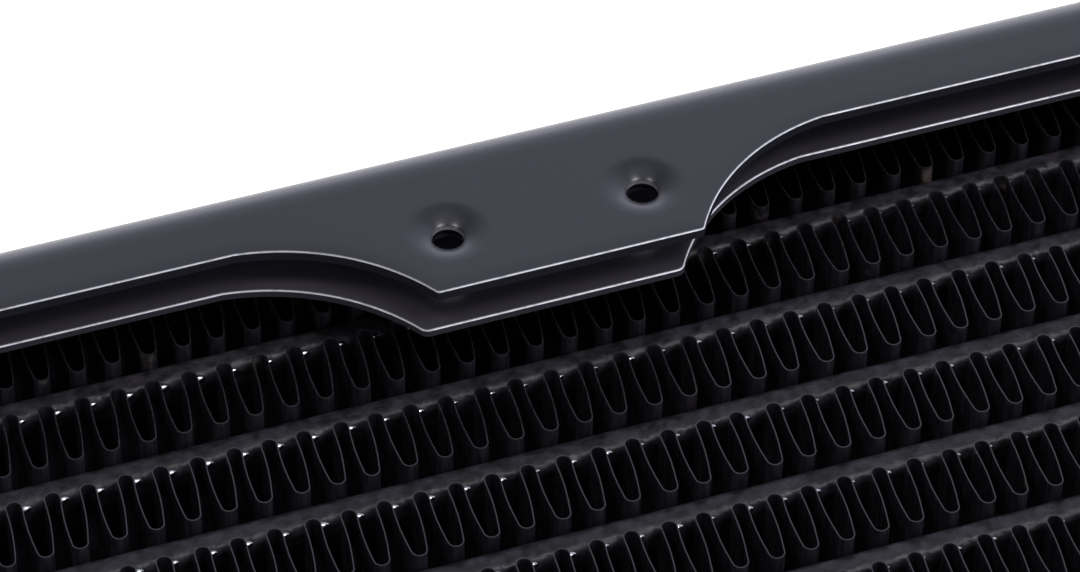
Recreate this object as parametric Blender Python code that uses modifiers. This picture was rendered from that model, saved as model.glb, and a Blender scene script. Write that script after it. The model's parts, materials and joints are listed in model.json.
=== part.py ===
"""Liquid cooling radiator for two 120 mm fans, as an assembly of separate solids.

Frame: metres, +Z up. The radiator lies flat with its core facing up and down. +X runs along the
tubes towards the tank with the hose ports, +Y across the tubes. The origin is the centre of the
bounding box's lowest face.
"""

import math

import bmesh
import bpy
from mathutils import Matrix, Vector

MM = 0.001

# ---- Driving dimensions -------------------------------------------------------------------------

# Fans: two in a row, each fixed by four screws on a square.
FAN_COUNT = 2
SCREW_SPACING = 105 * MM
SCREW_TO_FAN_EDGE = 7.5 * MM
SCREW_HOLE_RADIUS = 1.25 * MM  # tapping size of an M3 thread

# Outer side shells: folded sheet steel with a flange on each face.
THICKNESS = 46 * MM
SHELL_PAST_SCREWS = 11 * MM  # from the row of screws out to the shell's side
SHELL_SHEET = 1.0 * MM
SHELL_BEND_RADIUS = 4.5 * MM
TAB_EDGE = 5.65 * MM  # from the row of screws in to the edge of a screw tab
NARROW_EDGE = 2.75 * MM  # from the row of screws out to the flange's edge between tabs
TAB_PAST_SCREW = 2.65 * MM  # straight tab edge beyond the outermost screw
TAB_ARC_RUN = 12.6 * MM  # length along X in which the tab sweeps back to the narrow flange
TAB_ARC_RADIUS = 16.9 * MM
COLLAR_WALL = 0.95 * MM  # formed collar that carries the screw thread
COLLAR_DEPTH = 0.9 * MM  # how far the collar stands below the sheet

# Inner guard frames: they stop a long screw before it reaches the tubes.
GUARD_SHEET = 0.8 * MM
GUARD_BEND_RADIUS = 2.5 * MM
GUARD_DROP = 3.6 * MM  # from a shell's face down to the guard's face
GUARD_SHIFT = -1.0 * MM  # the guards sit this far along X from the shells' middle
GUARD_END_GAP = 0.4 * MM  # from a guard's end to the header plate

# Core: flat tubes with a folded fin between every two.
TUBE_COUNT = 14
TUBE_THICKNESS = 2.25 * MM
TUBE_WALL = 0.4 * MM
TUBE_SINK = 0.9 * MM  # tube noses lie this far below the fins' faces
TUBE_PAST_HEADER = 1.4 * MM
CORE_SINK = 8.4 * MM  # from a shell's face down to the fins
FIN_SHEET = 0.15 * MM
FIN_FOLDS = 24
FIN_END_GAP = 1.6 * MM  # from the fins to the header plates

# Tanks and header plates.
TANK_INSET = 2.5 * MM  # a tank's faces lie this far inside the shells' faces
TANK_SIDE_INSET = 4.1 * MM  # a tank's sides lie this far inside the shells' sides
TANK_WALL = 1.2 * MM
TANK_CORNER = 6.0 * MM
TANK_EDGE = 2.2 * MM
RETURN_TANK_REACH = 18 * MM  # beyond the shells' ends
HEADER_SHEET = 1.2 * MM
HEADER_DEPTH = 3.6 * MM
RIM_SHEET = 1.0 * MM
BAFFLE_SHEET = 1.5 * MM

# Threaded ports, G1/4.
BORE_RADIUS = 5.72 * MM
THREAD_PITCH = 1.337 * MM
BUSH_WALL = 2.7 * MM
BUSH_FLANGE = 1.5 * MM
BUSH_DEPTH = 8.0 * MM  # below the tank's wall
BUSH_RIM = 2.2 * MM  # width of the bush's face around the seal's seat
PORT_MARGIN = 2.3 * MM  # from a bush to the ends of its tank
TOP_PORT_FROM_SIDE = 24.4 * MM  # from the tank's side to the middle of a port
SEAL_WIRE_RADIUS = 0.8 * MM
SEAL_CLEARANCE = 0.3 * MM  # around the seal in its seat and on the plug
PLUG_HEAD = 2.2 * MM
PLUG_HEAD_OVERLAP = 1.2 * MM  # of the plug's head on the bush's face
PLUG_SHANK_LENGTH = 7.5 * MM
PLUG_SLOT_WIDTH = 2.0 * MM
PLUG_SLOT_DEPTH = 1.3 * MM

# Clearances between neighbours.
FIT_GAP = 0.3 * MM
SOLDER_GAP = 0.1 * MM
SEAM_GAP = 0.25 * MM

ROUND_SIDES = 20
HOLE_SIDES = 16
BEND_STEPS = 5
ARC_STEPS = 8
OVERCUT = 3 * MM  # how far a cutter runs past what it cuts

# ---- Derived positions --------------------------------------------------------------------------

FAN_SIZE = SCREW_SPACING + 2 * SCREW_TO_FAN_EDGE
SHELL_HALF_LENGTH = FAN_COUNT * FAN_SIZE / 2
SCREW_Y = SCREW_SPACING / 2
HALF_WIDTH = SCREW_Y + SHELL_PAST_SCREWS
TAB_EDGE_Y = SCREW_Y - TAB_EDGE
NARROW_EDGE_Y = SCREW_Y + NARROW_EDGE
MIDDLE_Z = THICKNESS / 2
COLLAR_RADIUS = SCREW_HOLE_RADIUS + COLLAR_WALL

GUARD_OUTER_Y = HALF_WIDTH - SHELL_SHEET - SOLDER_GAP
GUARD_INNER_Y = GUARD_OUTER_Y - GUARD_SHEET
CORE_HALF_WIDTH = GUARD_INNER_Y - SOLDER_GAP
# TUBE_COUNT tubes and one more fin fill the width, with a solder gap on both sides of each tube.
TUBE_PITCH = 2 * (CORE_HALF_WIDTH + TUBE_THICKNESS / 2 + SOLDER_GAP) / (TUBE_COUNT + 1)
FIN_HEIGHT = TUBE_PITCH - TUBE_THICKNESS - 2 * SOLDER_GAP
FIN_HALF_DEPTH = MIDDLE_Z - CORE_SINK
TUBE_HALF_DEPTH = FIN_HALF_DEPTH - TUBE_SINK

HEADER_FACE = SHELL_HALF_LENGTH - HEADER_DEPTH  # the header plate's side facing the core
HEADER_BACK = HEADER_FACE + HEADER_SHEET
GUARD_HALF_LENGTH = HEADER_FACE - GUARD_END_GAP - abs(GUARD_SHIFT)
TANK_START = HEADER_BACK + FIT_GAP
TANK_HALF_WIDTH = HALF_WIDTH - TANK_SIDE_INSET
TANK_HALF_DEPTH = MIDDLE_Z - TANK_INSET
RIM_HALF_WIDTH = TANK_HALF_WIDTH + SEAM_GAP + RIM_SHEET
RIM_HALF_DEPTH = TANK_HALF_DEPTH + SEAM_GAP + RIM_SHEET
FIN_HALF_LENGTH = HEADER_FACE - FIN_END_GAP
TUBE_HALF_LENGTH = HEADER_BACK + TUBE_PAST_HEADER

PLUG_SHANK_RADIUS = BORE_RADIUS - FIT_GAP
SEAL_RING_RADIUS = BORE_RADIUS + SEAL_CLEARANCE + SEAL_WIRE_RADIUS
SEAT_RADIUS = SEAL_RING_RADIUS + SEAL_WIRE_RADIUS + SEAL_CLEARANCE
SEAT_DEPTH = 2 * SEAL_WIRE_RADIUS
PLUG_HEAD_RADIUS = SEAT_RADIUS + PLUG_HEAD_OVERLAP
BUSH_RADIUS = BORE_RADIUS + BUSH_WALL
BUSH_FLANGE_RADIUS = SEAT_RADIUS + BUSH_RIM

PORT_TANK_END = SHELL_HALF_LENGTH + 2 * (BUSH_FLANGE_RADIUS + PORT_MARGIN)
RETURN_TANK_END = SHELL_HALF_LENGTH + RETURN_TANK_REACH
RETURN_REACH = RETURN_TANK_END + BUSH_FLANGE + FIT_GAP + PLUG_HEAD
FAN_MIDDLE_X = (RETURN_REACH - PORT_TANK_END) / 2  # centres the bounding box on the origin
PORT_X = (SHELL_HALF_LENGTH + PORT_TANK_END) / 2  # from the fans' middle
TOP_PORT_Y = TANK_HALF_WIDTH - TOP_PORT_FROM_SIDE

# Rotations that turn local Z onto a port's outward axis.
FACING = {
    "+Z": Matrix.Identity(4),
    "+Y": Matrix.Rotation(-math.pi / 2, 4, "X"),
    "-Y": Matrix.Rotation(math.pi / 2, 4, "X"),
    "-X": Matrix.Rotation(-math.pi / 2, 4, "Y"),
}
# Turns a flat outline's X, Y and Z onto the row's Y, Z and X.
OUTLINE_ACROSS = Matrix(((0, 0, 1, 0), (1, 0, 0, 0), (0, 1, 0, 0), (0, 0, 0, 1)))

# Colour, roughness and metallic value of each finish.
FINISHES = {
    "shell_paint": ((0.055, 0.055, 0.068), 0.35, 0.0),
    "guard_paint": ((0.03, 0.03, 0.035), 0.4, 0.0),
    "tank_paint": ((0.045, 0.045, 0.055), 0.35, 0.0),
    "tube_paint": ((0.035, 0.033, 0.038), 0.45, 0.0),
    "fin_paint": ((0.015, 0.013, 0.016), 0.5, 0.0),
    "header_brass": ((0.4, 0.3, 0.14), 0.45, 1.0),
    "baffle_brass": ((0.5, 0.38, 0.18), 0.4, 1.0),
    "port_brass": ((0.62, 0.47, 0.22), 0.3, 1.0),
    "plug_metal": ((0.12, 0.12, 0.13), 0.25, 1.0),
    "seal_rubber": ((0.02, 0.02, 0.02), 0.7, 0.0),
}
SMOOTH_BELOW = math.radians(35)  # edges sharper than this keep a crease


# ---- Scene and modelling helpers ----------------------------------------------------------------


def clear_scene():
    for obj in list(bpy.data.objects):
        bpy.data.objects.remove(obj)


def new_collection(name):
    collection = bpy.data.collections.new(name)
    bpy.context.scene.collection.children.link(collection)
    return collection


def new_finish(name):
    colour, roughness, metallic = FINISHES[name]
    material = bpy.data.materials.new(name)
    material.use_nodes = True
    shader = material.node_tree.nodes["Principled BSDF"]
    shader.inputs["Base Color"].default_value = (*colour, 1)
    shader.inputs["Roughness"].default_value = roughness
    shader.inputs["Metallic"].default_value = metallic
    return material


def part(name, mesh, finish, location=(0, 0, 0)):
    """One named sub-part of the radiator; X is measured from the fans' middle."""
    obj = bpy.data.objects.new(name, mesh)
    obj.location = Vector(location) + Vector((FAN_MIDDLE_X, 0, 0))
    PARTS.objects.link(obj)
    if not mesh.materials:
        mesh.materials.append(MATERIALS[finish])
    mesh.shade_smooth()
    mesh.set_sharp_from_angle(angle=SMOOTH_BELOW)
    return obj


def helper(name, mesh, location=(0, 0, 0)):
    """A cutter or an added volume, which isn't a part itself."""
    obj = bpy.data.objects.new(name, mesh)
    obj.location = Vector(location) + Vector((FAN_MIDDLE_X, 0, 0))
    obj.hide_render = True
    obj.display_type = "WIRE"
    CUTTERS.objects.link(obj)
    return obj


def combine(obj, other, operation):
    modifier = obj.modifiers.new(f"{operation.lower()} {other.name}", "BOOLEAN")
    modifier.operation = operation
    modifier.object = other
    modifier.solver = "EXACT"


def mesh_from(name, bm):
    mesh = bpy.data.meshes.new(name)
    bm.to_mesh(mesh)
    bm.free()
    return mesh


def add_box(bm, low, high):
    """Adds a box between two corners."""
    low, high = Vector(low), Vector(high)
    place = Matrix.Translation((low + high) / 2) @ Matrix.Diagonal((*(high - low), 1))
    bmesh.ops.create_cube(bm, size=1, matrix=place)


def add_cylinder(bm, radius, bottom, top, sides=ROUND_SIDES, place=None):
    """Adds a capped cylinder along local Z from bottom to top, then puts it in place."""
    matrix = (place or Matrix.Identity(4)) @ Matrix.Translation((0, 0, (bottom + top) / 2))
    bmesh.ops.create_cone(
        bm,
        cap_ends=True,
        segments=sides,
        radius1=radius,
        radius2=radius,
        depth=top - bottom,
        matrix=matrix,
    )


def extruded_outline(name, outlines, half_length, across=False):
    """A mesh made from closed flat outlines; an outline inside another is a hole."""
    curve = bpy.data.curves.new(name, "CURVE")
    curve.dimensions = "2D"
    curve.fill_mode = "BOTH"
    curve.extrude = half_length
    for outline in outlines:
        spline = curve.splines.new("POLY")
        spline.points.add(len(outline) - 1)
        for point, (x, y) in zip(spline.points, outline):
            point.co = (x, y, 0, 1)
        spline.use_cyclic_u = True
    guide = bpy.data.objects.new(name, curve)
    CUTTERS.objects.link(guide)
    graph = bpy.context.evaluated_depsgraph_get()
    mesh = bpy.data.meshes.new_from_object(guide.evaluated_get(graph))
    bpy.data.objects.remove(guide)
    bm = bmesh.new()
    bm.from_mesh(mesh)
    bmesh.ops.remove_doubles(bm, verts=bm.verts, dist=0.001 * MM)
    if across:
        bmesh.ops.transform(bm, matrix=OUTLINE_ACROSS, verts=bm.verts)
    bmesh.ops.recalc_face_normals(bm, faces=bm.faces)
    bm.to_mesh(mesh)
    bm.free()
    return mesh


def arc(start, end, radius, steps):
    """Points of the arc from start to end that curves to the left of the way there."""
    start, end = Vector(start), Vector(end)
    half = (end - start) / 2
    rise = math.sqrt(radius**2 - half.length_squared)
    left = Vector((-half.y, half.x)).normalized()
    centre = start + half - left * rise
    first = start - centre
    turn = first.angle_signed(end - centre)
    points = []
    for step in range(steps + 1):
        around = Matrix.Rotation(-turn * step / steps, 2)
        points.append(centre + around @ first)
    return points


def stadium(half_length, half_thickness, steps):
    """Outline of a flat tube: two straight sides and two half-round noses along Y."""
    points = []
    for middle, begin in ((half_length - half_thickness, 0), (half_thickness - half_length, math.pi)):
        for step in range(steps + 1):
            angle = begin + math.pi * step / steps
            points.append((half_thickness * math.cos(angle), middle + half_thickness * math.sin(angle)))
    return points


# ---- Side shells and guards ---------------------------------------------------------------------


def channel_mesh(name, side, outer_y, low_z, high_z, bend_radius, half_length):
    """Outer surface of a folded side sheet: flange, bend, web, bend, flange."""
    profile = [(TAB_EDGE_Y, low_z)]
    for centre_z, begin in ((low_z + bend_radius, -90), (high_z - bend_radius, 0)):
        for step in range(BEND_STEPS + 1):
            angle = math.radians(begin + 90 * step / BEND_STEPS)
            y = outer_y - bend_radius + bend_radius * math.cos(angle)
            profile.append((y, centre_z + bend_radius * math.sin(angle)))
    profile.append((TAB_EDGE_Y, high_z))
    if side < 0:
        profile.reverse()
    bm = bmesh.new()
    line = [bm.verts.new((-half_length, side * y, z)) for y, z in profile]
    edges = [bm.edges.new(pair) for pair in zip(line, line[1:])]
    swept = bmesh.ops.extrude_edge_only(bm, edges=edges)["geom"]
    moved = [v for v in swept if isinstance(v, bmesh.types.BMVert)]
    bmesh.ops.translate(bm, verts=moved, vec=(2 * half_length, 0, 0))
    bmesh.ops.reverse_faces(bm, faces=bm.faces)
    return mesh_from(name, bm)


def thicken(obj, thickness):
    modifier = obj.modifiers.new("sheet", "SOLIDIFY")
    modifier.thickness = thickness
    modifier.offset = -1
    modifier.use_even_offset = True


def scallop_outline(side):
    """What is cut from a flange between two screw tabs, with X from the middle of a fan."""
    corner = SCREW_SPACING / 2 - TAB_PAST_SCREW
    arc_end = (-corner + TAB_ARC_RUN, NARROW_EDGE_Y)
    left = arc((-corner, TAB_EDGE_Y), arc_end, TAB_ARC_RADIUS, ARC_STEPS)
    right = [Vector((-p.x, p.y)) for p in reversed(left)]
    mouth = [Vector((x, TAB_EDGE_Y - OVERCUT)) for x in (corner, -corner)]
    return [(p.x, side * p.y) for p in (*left, *right, *mouth)]


def cut_scallops(obj, side, shift=0.0):
    outline = scallop_outline(side)
    for number in range(FAN_COUNT):
        middle = (number - (FAN_COUNT - 1) / 2) * FAN_SIZE + shift
        mesh = extruded_outline("scallop", [outline], THICKNESS / 2 + OVERCUT)
        cutter = helper(f"scallop {obj.name} {number}", mesh, (middle, 0, MIDDLE_Z))
        combine(obj, cutter, "DIFFERENCE")


def screw_places(side):
    """X and Y of each screw along one side."""
    for number in range(FAN_COUNT):
        middle = (number - (FAN_COUNT - 1) / 2) * FAN_SIZE
        for step in (-1, 1):
            yield middle + step * SCREW_SPACING / 2, side * SCREW_Y


def build_shell(name, side):
    """One folded side shell with scalloped flanges and its formed, tapped screw holes."""
    mesh = channel_mesh(name, side, HALF_WIDTH, 0, THICKNESS, SHELL_BEND_RADIUS, SHELL_HALF_LENGTH)
    shell = part(name, mesh, "shell_paint")
    thicken(shell, SHELL_SHEET)
    cut_scallops(shell, side)
    collars, holes = bmesh.new(), bmesh.new()
    reach = SHELL_SHEET + COLLAR_DEPTH
    for x, y in screw_places(side):
        here = Matrix.Translation((x, y, 0))
        add_cylinder(collars, COLLAR_RADIUS, SHELL_SHEET / 2, reach, HOLE_SIDES, here)
        add_cylinder(
            collars, COLLAR_RADIUS, THICKNESS - reach, THICKNESS - SHELL_SHEET / 2, HOLE_SIDES, here
        )
        add_cylinder(holes, SCREW_HOLE_RADIUS, -OVERCUT, THICKNESS + OVERCUT, HOLE_SIDES, here)
    combine(shell, helper(f"collars {name}", mesh_from("collars", collars)), "UNION")
    combine(shell, helper(f"screw holes {name}", mesh_from("screw holes", holes)), "DIFFERENCE")


def build_guard(name, side):
    """The folded guard inside a shell, with the same tabs but no holes."""
    mesh = channel_mesh(
        name,
        side,
        GUARD_OUTER_Y,
        GUARD_DROP,
        THICKNESS - GUARD_DROP,
        GUARD_BEND_RADIUS,
        GUARD_HALF_LENGTH,
    )
    guard = part(name, mesh, "guard_paint", (GUARD_SHIFT, 0, 0))
    thicken(guard, GUARD_SHEET)
    cut_scallops(guard, side, GUARD_SHIFT)


# ---- Core ---------------------------------------------------------------------------------------


def build_tubes():
    outer = stadium(TUBE_HALF_DEPTH, TUBE_THICKNESS / 2, 6)
    inner = stadium(TUBE_HALF_DEPTH - TUBE_WALL, TUBE_THICKNESS / 2 - TUBE_WALL, 4)
    mesh = extruded_outline("tube", [outer, inner], TUBE_HALF_LENGTH, across=True)
    for number in range(TUBE_COUNT):
        y = (number - (TUBE_COUNT - 1) / 2) * TUBE_PITCH
        part(f"tube_{number + 1:02d}", mesh, "tube_paint", (0, y, MIDDLE_Z))


def build_fins():
    """Folded fins: a zigzag ribbon that runs along X and stands between two tubes."""
    bm = bmesh.new()
    step = FIN_HALF_LENGTH / FIN_FOLDS
    peak = (FIN_HEIGHT - FIN_SHEET) / 2
    line = []
    for number in range(2 * FIN_FOLDS + 1):
        x = -FIN_HALF_LENGTH + number * step
        line.append(bm.verts.new((x, peak if number % 2 else -peak, -FIN_HALF_DEPTH)))
    edges = [bm.edges.new(pair) for pair in zip(line, line[1:])]
    swept = bmesh.ops.extrude_edge_only(bm, edges=edges)["geom"]
    moved = [v for v in swept if isinstance(v, bmesh.types.BMVert)]
    bmesh.ops.translate(bm, verts=moved, vec=(0, 0, 2 * FIN_HALF_DEPTH))
    mesh = mesh_from("fin", bm)
    for number in range(TUBE_COUNT + 1):
        y = (number - TUBE_COUNT / 2) * TUBE_PITCH
        fin = part(f"fin_{number + 1:02d}", mesh, "fin_paint", (0, y, MIDDLE_Z))
        ribbon = fin.modifiers.new("sheet", "SOLIDIFY")
        ribbon.thickness = FIN_SHEET
        ribbon.offset = 0


# ---- Header plates, tanks and baffle ------------------------------------------------------------


def rounded_box(bm, low, high, corner, edge=0, end_x=0):
    """A box with round corners along X and, if edge is set, round edges at the end at end_x."""
    add_box(bm, low, high)
    along = [e for e in bm.edges if abs(e.verts[0].co.x - e.verts[1].co.x) > MM]
    bmesh.ops.bevel(bm, geom=along, offset=corner, segments=4, profile=0.5, affect="EDGES")
    if edge:
        end = [e for e in bm.edges if all(abs(v.co.x - end_x) < MM / 10 for v in e.verts)]
        bmesh.ops.bevel(bm, geom=end, offset=edge, segments=3, profile=0.5, affect="EDGES")


def open_tank(name, direction, end):
    """Outer and inner volumes of a tank along X, whose mouth faces the header plate."""
    outer, inner = bmesh.new(), bmesh.new()
    low, high = sorted((direction * TANK_START, direction * end))
    rounded_box(
        outer,
        (low, -TANK_HALF_WIDTH, -TANK_HALF_DEPTH),
        (high, TANK_HALF_WIDTH, TANK_HALF_DEPTH),
        TANK_CORNER,
        TANK_EDGE,
        direction * end,
    )
    half_width, half_depth = TANK_HALF_WIDTH - TANK_WALL, TANK_HALF_DEPTH - TANK_WALL
    mouth, back = direction * (TANK_START - OVERCUT), direction * (end - TANK_WALL)
    low, high = sorted((mouth, back))
    rounded_box(
        inner,
        (low, -half_width, -half_depth),
        (high, half_width, half_depth),
        TANK_CORNER - TANK_WALL,
        TANK_EDGE - TANK_WALL,
        back,
    )
    return mesh_from(name, outer), mesh_from(f"{name} inside", inner)


def build_header(name, direction):
    """Header plate: a shallow dish that the tank sits in, with a slot for each tube."""
    corner = TANK_CORNER + SEAM_GAP
    low, high = sorted((direction * HEADER_FACE, direction * SHELL_HALF_LENGTH))
    plate = bmesh.new()
    rounded_box(
        plate,
        (low, -RIM_HALF_WIDTH, -RIM_HALF_DEPTH),
        (high, RIM_HALF_WIDTH, RIM_HALF_DEPTH),
        corner + RIM_SHEET,
    )
    header = part(name, mesh_from(name, plate), "header_brass", (0, 0, MIDDLE_Z))
    low, high = sorted((direction * HEADER_BACK, direction * (SHELL_HALF_LENGTH + OVERCUT)))
    half_width, half_depth = RIM_HALF_WIDTH - RIM_SHEET, RIM_HALF_DEPTH - RIM_SHEET
    well = bmesh.new()
    rounded_box(well, (low, -half_width, -half_depth), (high, half_width, half_depth), corner)
    combine(header, helper(f"well {name}", mesh_from("well", well), (0, 0, MIDDLE_Z)), "DIFFERENCE")
    slot = extruded_outline(
        "slot",
        [stadium(TUBE_HALF_DEPTH + SOLDER_GAP, TUBE_THICKNESS / 2 + SOLDER_GAP, 6)],
        HEADER_DEPTH,
        across=True,
    )
    slots = bmesh.new()
    for number in range(TUBE_COUNT):
        y = (number - (TUBE_COUNT - 1) / 2) * TUBE_PITCH
        before = len(slots.verts)
        slots.from_mesh(slot)
        slots.verts.ensure_lookup_table()
        bmesh.ops.translate(slots, verts=slots.verts[before:], vec=(direction * HEADER_FACE, y, 0))
    combine(header, helper(f"slots {name}", mesh_from("slots", slots), (0, 0, MIDDLE_Z)), "DIFFERENCE")


def build_tank(name, direction, end, ports):
    """A drawn tank, open towards the header plate, with a round hole for each port."""
    outer, inner = open_tank(name, direction, end)
    tank = part(name, outer, "tank_paint", (0, 0, MIDDLE_Z))
    combine(tank, helper(f"inside {name}", inner, (0, 0, MIDDLE_Z)), "DIFFERENCE")
    holes = bmesh.new()
    for place in ports:
        add_cylinder(holes, BUSH_RADIUS + FIT_GAP, -3 * TANK_WALL, OVERCUT, place=place)
    combine(tank, helper(f"port holes {name}", mesh_from("port holes", holes)), "DIFFERENCE")


def build_baffle():
    """Divider that splits the port tank into an inlet half and an outlet half."""
    bm = bmesh.new()
    half_depth = TANK_HALF_DEPTH - TANK_WALL - FIT_GAP
    start = TUBE_HALF_LENGTH + FIT_GAP
    end = PORT_TANK_END - TANK_WALL - FIT_GAP
    add_box(bm, (start, -BAFFLE_SHEET / 2, -half_depth), (end, BAFFLE_SHEET / 2, half_depth))
    corners = [e for e in bm.edges if abs(e.verts[0].co.y - e.verts[1].co.y) > MM]
    far = [e for e in corners if e.verts[0].co.x > end - MM]
    bmesh.ops.bevel(bm, geom=far, offset=TANK_EDGE, segments=3, profile=0.5, affect="EDGES")
    part("baffle", mesh_from("baffle", bm), "baffle_brass", (0, 0, MIDDLE_Z))


# ---- Ports, plugs and seals ---------------------------------------------------------------------


def port_place(facing, x, y, z):
    """Matrix whose origin is on the tank's wall and whose Z points out of the port."""
    return Matrix.Translation((x, y, z)) @ FACING[facing]


def build_bush(name, place):
    """Threaded bush through the tank's wall, with a counterbore for a seal."""
    body, bore = bmesh.new(), bmesh.new()
    bottom, top = -BUSH_DEPTH, BUSH_FLANGE
    add_cylinder(body, BUSH_FLANGE_RADIUS, FIT_GAP / 2, top)
    add_cylinder(bore, BORE_RADIUS, bottom - OVERCUT, top + OVERCUT)
    bush = part(name, mesh_from(name, body), "port_brass")
    sleeve, seat = bmesh.new(), bmesh.new()
    add_cylinder(sleeve, BUSH_RADIUS, bottom, top / 2)
    add_cylinder(seat, SEAT_RADIUS, top - SEAT_DEPTH, top + OVERCUT)
    cuts = (("sleeve", sleeve, "UNION"), ("bore", bore, "DIFFERENCE"), ("seat", seat, "DIFFERENCE"))
    bush.matrix_world = Matrix.Translation((FAN_MIDDLE_X, 0, 0)) @ place
    for label, bm, operation in cuts:
        cutter = helper(f"{label} {name}", mesh_from(label, bm))
        cutter.matrix_world = bush.matrix_world
        combine(bush, cutter, operation)


def build_plug(name, seal_name, place):
    """A screw plug with a coin slot, and the seal ring under its head."""
    head, shank, slot = bmesh.new(), bmesh.new(), bmesh.new()
    under = BUSH_FLANGE + FIT_GAP
    top = under + PLUG_HEAD
    add_cylinder(head, PLUG_HEAD_RADIUS, under, top)
    rims = [e for e in head.edges if all(v.co.z > top - MM / 10 for v in e.verts)]
    bmesh.ops.bevel(head, geom=rims, offset=0.5 * MM, segments=2, profile=0.5, affect="EDGES")
    add_cylinder(shank, PLUG_SHANK_RADIUS, under - PLUG_SHANK_LENGTH, under + PLUG_HEAD / 2)
    half_slot, past_head = PLUG_SLOT_WIDTH / 2, PLUG_HEAD_RADIUS + OVERCUT
    add_box(slot, (-past_head, -half_slot, top - PLUG_SLOT_DEPTH), (past_head, half_slot, top + OVERCUT))
    plug = part(name, mesh_from(name, head), "plug_metal")
    plug.matrix_world = Matrix.Translation((FAN_MIDDLE_X, 0, 0)) @ place
    for label, bm, operation in (("shank", shank, "UNION"), ("slot", slot, "DIFFERENCE")):
        cutter = helper(f"{label} {name}", mesh_from(label, bm))
        cutter.matrix_world = plug.matrix_world
        combine(plug, cutter, operation)

    bpy.ops.mesh.primitive_torus_add(
        major_radius=SEAL_RING_RADIUS,
        minor_radius=SEAL_WIRE_RADIUS,
        major_segments=ROUND_SIDES,
        minor_segments=8,
    )
    torus = bpy.context.object
    mesh = torus.data
    bpy.data.objects.remove(torus)
    seal = part(seal_name, mesh, "seal_rubber")
    rest = BUSH_FLANGE - SEAT_DEPTH + SEAL_WIRE_RADIUS + SOLDER_GAP
    seal.matrix_world = plug.matrix_world @ Matrix.Translation((0, 0, rest))


# ---- Assembly -----------------------------------------------------------------------------------


def build_ports():
    """Every port's place on its tank, by name."""
    top = THICKNESS - TANK_INSET
    return {
        "port_top_left": port_place("+Z", PORT_X, TOP_PORT_Y, top),
        "port_top_right": port_place("+Z", PORT_X, -TOP_PORT_Y, top),
        "port_side_left": port_place("+Y", PORT_X, TANK_HALF_WIDTH, MIDDLE_Z),
        "port_side_right": port_place("-Y", PORT_X, -TANK_HALF_WIDTH, MIDDLE_Z),
        "port_bleed": port_place("-X", -RETURN_TANK_END, 0, MIDDLE_Z),
    }


def build_radiator():
    build_shell("side_shell_left", 1)
    build_shell("side_shell_right", -1)
    build_guard("screw_guard_left", 1)
    build_guard("screw_guard_right", -1)
    build_tubes()
    build_fins()
    build_header("header_plate_port", 1)
    build_header("header_plate_return", -1)
    ports = build_ports()
    bleed = ports["port_bleed"]
    build_tank("tank_port", 1, PORT_TANK_END, [p for n, p in ports.items() if n != "port_bleed"])
    build_tank("tank_return", -1, RETURN_TANK_END, [bleed])
    build_baffle()
    for name, place in ports.items():
        build_bush(name, place)
    build_plug("plug_side_left", "seal_side_left", ports["port_side_left"])
    build_plug("plug_side_right", "seal_side_right", ports["port_side_right"])
    build_plug("plug_bleed", "seal_bleed", bleed)


clear_scene()
PARTS = new_collection("liquid_cooling_radiator")
CUTTERS = new_collection("cutters")
MATERIALS = {name: new_finish(name) for name in FINISHES}
build_radiator()
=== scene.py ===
"""Looks of a liquid cooling radiator for two 120 mm fans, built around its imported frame.

The radiator lies flat. +X runs along the tubes towards the tank with the hose ports, +Y across the
tubes towards the left side shell, and +Z up out of the upper fan face. Lengths are in metres.
"""

import json
import logging
import math
import random
from collections.abc import Sequence
from dataclasses import dataclass, field
from enum import Enum
from typing import Union

import bmesh
import bpy
from mathutils import Matrix, Vector
from mathutils.geometry import delaunay_2d_cdt

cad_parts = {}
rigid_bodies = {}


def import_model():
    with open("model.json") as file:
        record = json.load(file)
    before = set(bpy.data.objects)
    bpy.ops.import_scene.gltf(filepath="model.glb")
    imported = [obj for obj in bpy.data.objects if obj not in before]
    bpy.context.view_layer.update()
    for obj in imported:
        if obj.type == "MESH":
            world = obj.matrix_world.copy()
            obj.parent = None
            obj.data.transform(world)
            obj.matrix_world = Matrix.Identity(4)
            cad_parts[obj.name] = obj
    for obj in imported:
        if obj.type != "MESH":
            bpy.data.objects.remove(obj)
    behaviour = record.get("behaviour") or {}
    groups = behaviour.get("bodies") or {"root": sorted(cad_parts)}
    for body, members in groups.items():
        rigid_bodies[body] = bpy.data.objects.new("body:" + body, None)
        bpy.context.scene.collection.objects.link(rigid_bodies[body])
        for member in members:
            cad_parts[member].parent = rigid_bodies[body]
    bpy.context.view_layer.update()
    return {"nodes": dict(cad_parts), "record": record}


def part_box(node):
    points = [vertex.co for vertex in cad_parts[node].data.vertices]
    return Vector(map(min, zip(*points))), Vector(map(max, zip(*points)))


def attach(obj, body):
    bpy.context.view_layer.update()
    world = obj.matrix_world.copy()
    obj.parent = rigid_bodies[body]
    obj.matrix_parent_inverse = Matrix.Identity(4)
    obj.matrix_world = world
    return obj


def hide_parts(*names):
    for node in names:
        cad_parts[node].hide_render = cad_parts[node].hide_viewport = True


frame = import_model()
log = logging.getLogger("radiator")

MM = 0.001
STARTUP_OBJECTS = ("Cube", "Light", "Camera")

Value = Union[float, int, tuple, None, "Wire"]
Colour = tuple[float, float, float]
Turned = tuple[float, float, float]  # radius, height and bareness of a point on a turned profile
Row = Sequence[bmesh.types.BMVert]


class Side(Enum):
    """Long sides of the radiator, with the sign of their Y."""

    LEFT = 1
    RIGHT = -1


class End(Enum):
    """Ends of the radiator, with the sign of their X."""

    PORT = 1
    RETURN = -1


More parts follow.
